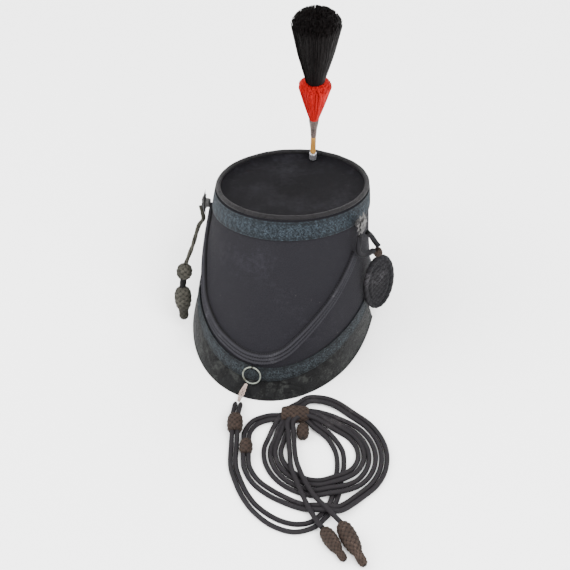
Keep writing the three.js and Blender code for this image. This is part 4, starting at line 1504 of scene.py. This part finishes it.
class Plume:
    """The plume: a socket, a wooden stem, a wire-bound ferrule and two tufts of hair."""

    X = 2.4
    Y = 91.5
    LEAN = math.radians(0.6)
    SOCKET = (121.8, 129.0, 3.6)
    STEM = (129.4, 148.8, 2.6)
    FERRULE = [(149.2, 2.7), (158, 3.2), (170.6, 5.0)]
    RED = Tuft("red_tuft", "plume_red_hair", Slot.RED,
               [(171, 4.4), (186, 8.3), (203, 12.8), (217, 15.8)], 2400, 0.28, 0.1, 3)
    BLACK = Tuft("black_tuft", "plume_black_hair", Slot.BLACK,
                 [(216, 8.6), (236, 13.4), (256, 17.6), (274, 21.2), (292, 23.6)],
                 3400, 0.3, 0.13, 5)

    def axis(self, height: np.ndarray) -> np.ndarray:
        """Middle of the plume at a height, in hat millimetres."""
        height = np.asarray(height, float)
        return np.stack([self.X + (height - 121) * math.tan(self.LEAN),
                         self.Y + 0 * height, height], axis=-1)

    def rod(self, name: str, outline: Sequence[tuple[float, float]], material: bpy.types.Material,
            slot: Slot, node: str, wire: float = 0.0) -> bpy.types.Object:
        """Make a round piece of the plume's stem.

        Args:
            name: The piece's name.
            outline: Heights and radii.
            material: Its material.
            slot: The record's slot.
            node: The frame node that it stands for.
            wire: Pitch in millimetres of wire wound round it, or 0 for none.

        Returns:
            The piece.
        """
        heights, radii = np.array(outline).T
        level = np.linspace(heights[0], heights[-1], 160 if wire else 24)
        reach = np.interp(level, heights, radii)
        ease = np.minimum(level - level[0], level[-1] - level)
        reach = reach - 0.35 * np.exp(-ease / 0.3)

        def wound(share: np.ndarray, around: np.ndarray) -> np.ndarray:
            """Height of the wound wire."""
            if not wire:
                return 0 * share
            turns = share * (heights[-1] - heights[0]) / wire + around
            return (np.abs(np.sin(math.pi * turns)) ** 0.7 - 1) * 0.45 * MM

        rows, height = sweep(place(self.axis(level)), reach * MM, 40, wound)
        piece = Skin.build(name, rows, relief=1 + height / (0.45 * MM), sharp=55)
        return dress(piece, material, slot, node)

    def tuft(self, kind: Tuft, material: bpy.types.Material) -> bpy.types.Object:
        """Grow a tuft by Geometry Nodes: hairs that fan out from their binding.

        Args:
            kind: The tuft.
            material: Its material.

        Returns:
            The piece.
        """
        heights, radii = np.array(kind.outline).T
        base = place(self.axis(heights[0]))
        host = bpy.data.objects.new(kind.name + "_host", bpy.data.meshes.new(kind.name))
        bpy.context.scene.collection.objects.link(host)
        tree = self.hair_tree(kind.name + "_hairs", material)
        changer = host.modifiers.new("hairs", "NODES")
        changer.node_group = tree
        sizes = {"Count": kind.count, "Seed": kind.seed, "Length": (heights[-1] - heights[0]) * MM,
                 "Root Radius": radii[0] * MM, "Middle Radius": float(np.interp(
                     0.5 * (heights[0] + heights[-1]), heights, radii)) * MM,
                 "Tip Radius": radii[-1] * MM, "Thick": kind.thick * MM, "Ragged": kind.ragged}
        for item in tree.interface.items_tree:
            if item.in_out == "INPUT" and item.name in sizes:
                changer[item.identifier] = sizes[item.name]
        bpy.context.view_layer.update()
        shown = host.evaluated_get(bpy.context.evaluated_depsgraph_get())
        mesh = bpy.data.meshes.new_from_object(shown)
        bpy.data.objects.remove(host)
        lean = Vector((math.tan(self.LEAN), 0.0))
        for vertex in mesh.vertices:
            vertex.co.x += base[0] + lean.x * vertex.co.z
            vertex.co.y += base[1]
            vertex.co.z += base[2]
        piece = Skin.to_object(kind.name, mesh)
        return dress(piece, material, kind.slot, kind.node)

    @staticmethod
    def hair_tree(name: str, material: bpy.types.Material) -> bpy.types.NodeTree:
        """Build the tree that fans hairs out of a round binding.

        Args:
            name: The tree's name.
            material: The hairs' material.

        Returns:
            The tree.
        """
        tree = bpy.data.node_groups.new(name, "GeometryNodeTree")
        tree.interface.new_socket("Geometry", in_out="INPUT", socket_type="NodeSocketGeometry")
        for label, kind in (("Count", "Int"), ("Seed", "Int"), ("Length", "Float"),
                            ("Root Radius", "Float"), ("Middle Radius", "Float"),
                            ("Tip Radius", "Float"), ("Thick", "Float"), ("Ragged", "Float")):
            tree.interface.new_socket(label, in_out="INPUT", socket_type="NodeSocket" + kind)
        tree.interface.new_socket("Geometry", in_out="OUTPUT", socket_type="NodeSocketGeometry")
        graph = Graph(tree)
        given = graph.add("NodeGroupInput").outputs

        def chance(low: float, high: float, salt: int) -> bpy.types.NodeSocket:
            """A random number for every hair."""
            seed = graph.math("ADD", given["Seed"], float(salt))
            node = graph.add("FunctionNodeRandomValue", {2: low, 3: high, "Seed": seed},
                             data_type="FLOAT")
            return node.outputs[1]

        points = graph.add("GeometryNodePoints", {"Count": given["Count"]}).outputs[0]
        for label, value in (("turn", chance(0.0, 2 * math.pi, 11)),
                             ("share", graph.math("POWER", chance(0.0, 1.0, 23), 0.42)),
                             ("reach", graph.math("SUBTRACT", 1.0, graph.math(
                                 "MULTIPLY", given["Ragged"],
                                 graph.math("POWER", chance(0.0, 1.0, 37), 2.0)))),
                             ("sway", chance(-1.0, 1.0, 51)), ("tone", chance(0.0, 1.0, 67))):
            store = graph.add("GeometryNodeStoreNamedAttribute",
                              {"Geometry": points, "Name": label, "Value": value},
                              data_type="FLOAT", domain="POINT")
            points = store.outputs[0]
        line = graph.add("GeometryNodeCurvePrimitiveLine", {"End": (0.0, 0.0, 1.0)}).outputs[0]
        line = graph.add("GeometryNodeResampleCurve", {"Curve": line, "Count": 8}).outputs[0]
        hairs = graph.add("GeometryNodeInstanceOnPoints",
                          {"Points": points, "Instance": line}).outputs[0]
        hairs = graph.add("GeometryNodeRealizeInstances", {"Geometry": hairs}).outputs[0]

        def stored(label: str) -> bpy.types.NodeSocket:
            """A number stored on every hair."""
            return graph.add("GeometryNodeInputNamedAttribute", {"Name": label},
                             data_type="FLOAT").outputs[0]

        along = graph.add("ShaderNodeSeparateXYZ", {
            0: graph.add("GeometryNodeInputPosition").outputs[0]}).outputs[2]
        along = graph.math("MULTIPLY", along, stored("reach"))
        lower = graph.math("MULTIPLY", graph.math("SUBTRACT", given["Middle Radius"],
                                                  given["Root Radius"]),
                           graph.math("MINIMUM", graph.math("MULTIPLY", along, 2.0), 1.0))
        upper = graph.math("MULTIPLY", graph.math("SUBTRACT", given["Tip Radius"],
                                                  given["Middle Radius"]),
                           graph.math("MAXIMUM", graph.math("SUBTRACT", graph.math(
                               "MULTIPLY", along, 2.0), 1.0), 0.0))
        reach = graph.math("ADD", given["Root Radius"], graph.math("ADD", lower, upper))
        reach = graph.math("MULTIPLY", reach, stored("share"))
        turn = graph.math("ADD", stored("turn"), graph.math(
            "MULTIPLY", graph.math("MULTIPLY", stored("sway"), 0.22), along))
        dome = graph.math("SUBTRACT", 1.0, graph.math(
            "MULTIPLY", graph.math("POWER", stored("share"), 4.0), 0.14))
        spot = graph.add("ShaderNodeCombineXYZ", {
            0: graph.math("MULTIPLY", reach, graph.math("COSINE", turn)),
            1: graph.math("MULTIPLY", reach, graph.math("SINE", turn)),
            2: graph.math("MULTIPLY", graph.math("MULTIPLY", along, given["Length"]), dome)})
        moved = graph.add("GeometryNodeSetPosition",
                          {"Geometry": hairs, "Position": spot.outputs[0]}).outputs[0]
        outline = graph.add("GeometryNodeCurvePrimitiveCircle",
                            {"Resolution": 3, "Radius": given["Thick"]}, mode="RADIUS").outputs[0]
        solid = graph.add("GeometryNodeCurveToMesh",
                          {"Curve": moved, "Profile Curve": outline, "Fill Caps": True}).outputs[0]
        toned = graph.add("GeometryNodeStoreNamedAttribute",
                          {"Geometry": solid, "Name": Skin.RELIEF, "Value": stored("tone")},
                          data_type="FLOAT", domain="POINT").outputs[0]
        whole = graph.add("GeometryNodeRealizeInstances", {"Geometry": toned}).outputs[0]
        painted = graph.add("GeometryNodeSetMaterial", {"Geometry": whole, "Material": material})
        exit_node = graph.add("NodeGroupOutput")
        tree.links.new(painted.outputs[0], exit_node.inputs[0])
        return tree

    def build(self, looks: Wardrobe) -> list[bpy.types.Object]:
        """Make the plume's pieces.

        Args:
            looks: The materials.

        Returns:
            The pieces.
        """
        low, high, radius = self.SOCKET
        socket = self.rod("socket_tube", [(low, radius), (high, radius)], looks.socket,
                          Slot.SOCKET, "plume_socket")
        low, high, radius = self.STEM
        stem = self.rod("stem_rod", [(low, radius), (high, radius)], looks.stem, Slot.STEM,
                        "plume_stem")
        ferrule = self.rod("ferrule_winding", self.FERRULE, looks.ferrule, Slot.FERRULE,
                           "plume_ferrule", wire=1.5)
        return [socket, stem, ferrule, self.tuft(self.RED, looks.red),
                self.tuft(self.BLACK, looks.black)]


@dataclass(frozen=True)
class Studio:
    """The camera, the floor and the soft lights."""

    target: Vector = Vector((0.00271, -0.05299, 0.080))
    distance: float = 1.5
    azimuth: float = 15.49
    elevation: float = 45.03
    lens: float = 102.35

    def build(self) -> None:
        """Set the camera, the floor and the lights."""
        turn, rise = math.radians(self.azimuth), math.radians(self.elevation)
        back = Vector((math.sin(turn) * math.cos(rise), -math.cos(turn) * math.cos(rise),
                       math.sin(rise)))
        camera = bpy.data.objects.new("camera", bpy.data.cameras.new("camera"))
        camera.data.lens, camera.data.sensor_width = self.lens, 36.0
        camera.location = self.target + back * self.distance
        camera.rotation_euler = back.to_track_quat("Z", "Y").to_euler()
        bpy.context.scene.collection.objects.link(camera)
        bpy.context.scene.camera = camera
        self.floor()
        self.light("key", (0.9, -0.9, 1.6), 1.4, 84.0)
        self.light("fill", (-1.3, -0.5, 1.3), 1.5, 52.0)
        self.light("back", (0.2, 1.4, 1.3), 1.3, 24.0)
        world = bpy.data.worlds.new("studio")
        world.use_nodes = True
        world.node_tree.nodes["Background"].inputs[0].default_value = (1.0, 1.0, 1.0, 1.0)
        world.node_tree.nodes["Background"].inputs[1].default_value = 2.1
        bpy.context.scene.world = world

    def floor(self) -> None:
        """Lay a plain pale floor."""
        work = bmesh.new()
        bmesh.ops.create_grid(work, x_segments=1, y_segments=1, size=6.0)
        mesh = bpy.data.meshes.new("floor")
        work.to_mesh(mesh)
        work.free()
        floor = bpy.data.objects.new("floor", mesh)
        bpy.context.scene.collection.objects.link(floor)
        paper = bpy.data.materials.new("floor_paper")
        paper.use_nodes = True
        shader = paper.node_tree.nodes["Principled BSDF"]
        shader.inputs["Base Color"].default_value = (0.96, 0.96, 0.96, 1.0)
        shader.inputs["Roughness"].default_value = 0.9
        mesh.materials.append(paper)

    def light(self, name: str, spot: tuple[float, float, float], size: float,
              power: float) -> None:
        """Hang a soft square light that faces the hat.

        Args:
            name: The light's name.
            spot: Where it hangs, in metres.
            size: Its side, in metres.
            power: Its power in watts.
        """
        lamp = bpy.data.objects.new(name, bpy.data.lights.new(name, "AREA"))
        lamp.data.size, lamp.data.energy = size, power
        lamp.location = spot
        lamp.rotation_euler = (Vector(spot) - self.target).to_track_quat("Z", "Y").to_euler()
        bpy.context.scene.collection.objects.link(lamp)


def main() -> None:
    """Build the scene: the camera, the cap line and the hat."""
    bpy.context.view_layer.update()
    Studio().build()
    looks = Wardrobe()
    line = CapLine()
    line.build(looks)
    HatBody().build(looks)
    LaceBands().build(looks)
    Festoon().build(looks)
    RearRing().build(looks)
    SideTrims().build(looks, line)
    Plume().build(looks)


if __name__ == "__main__":
    logging.basicConfig(level=logging.INFO, stream=sys.stdout)
    main()
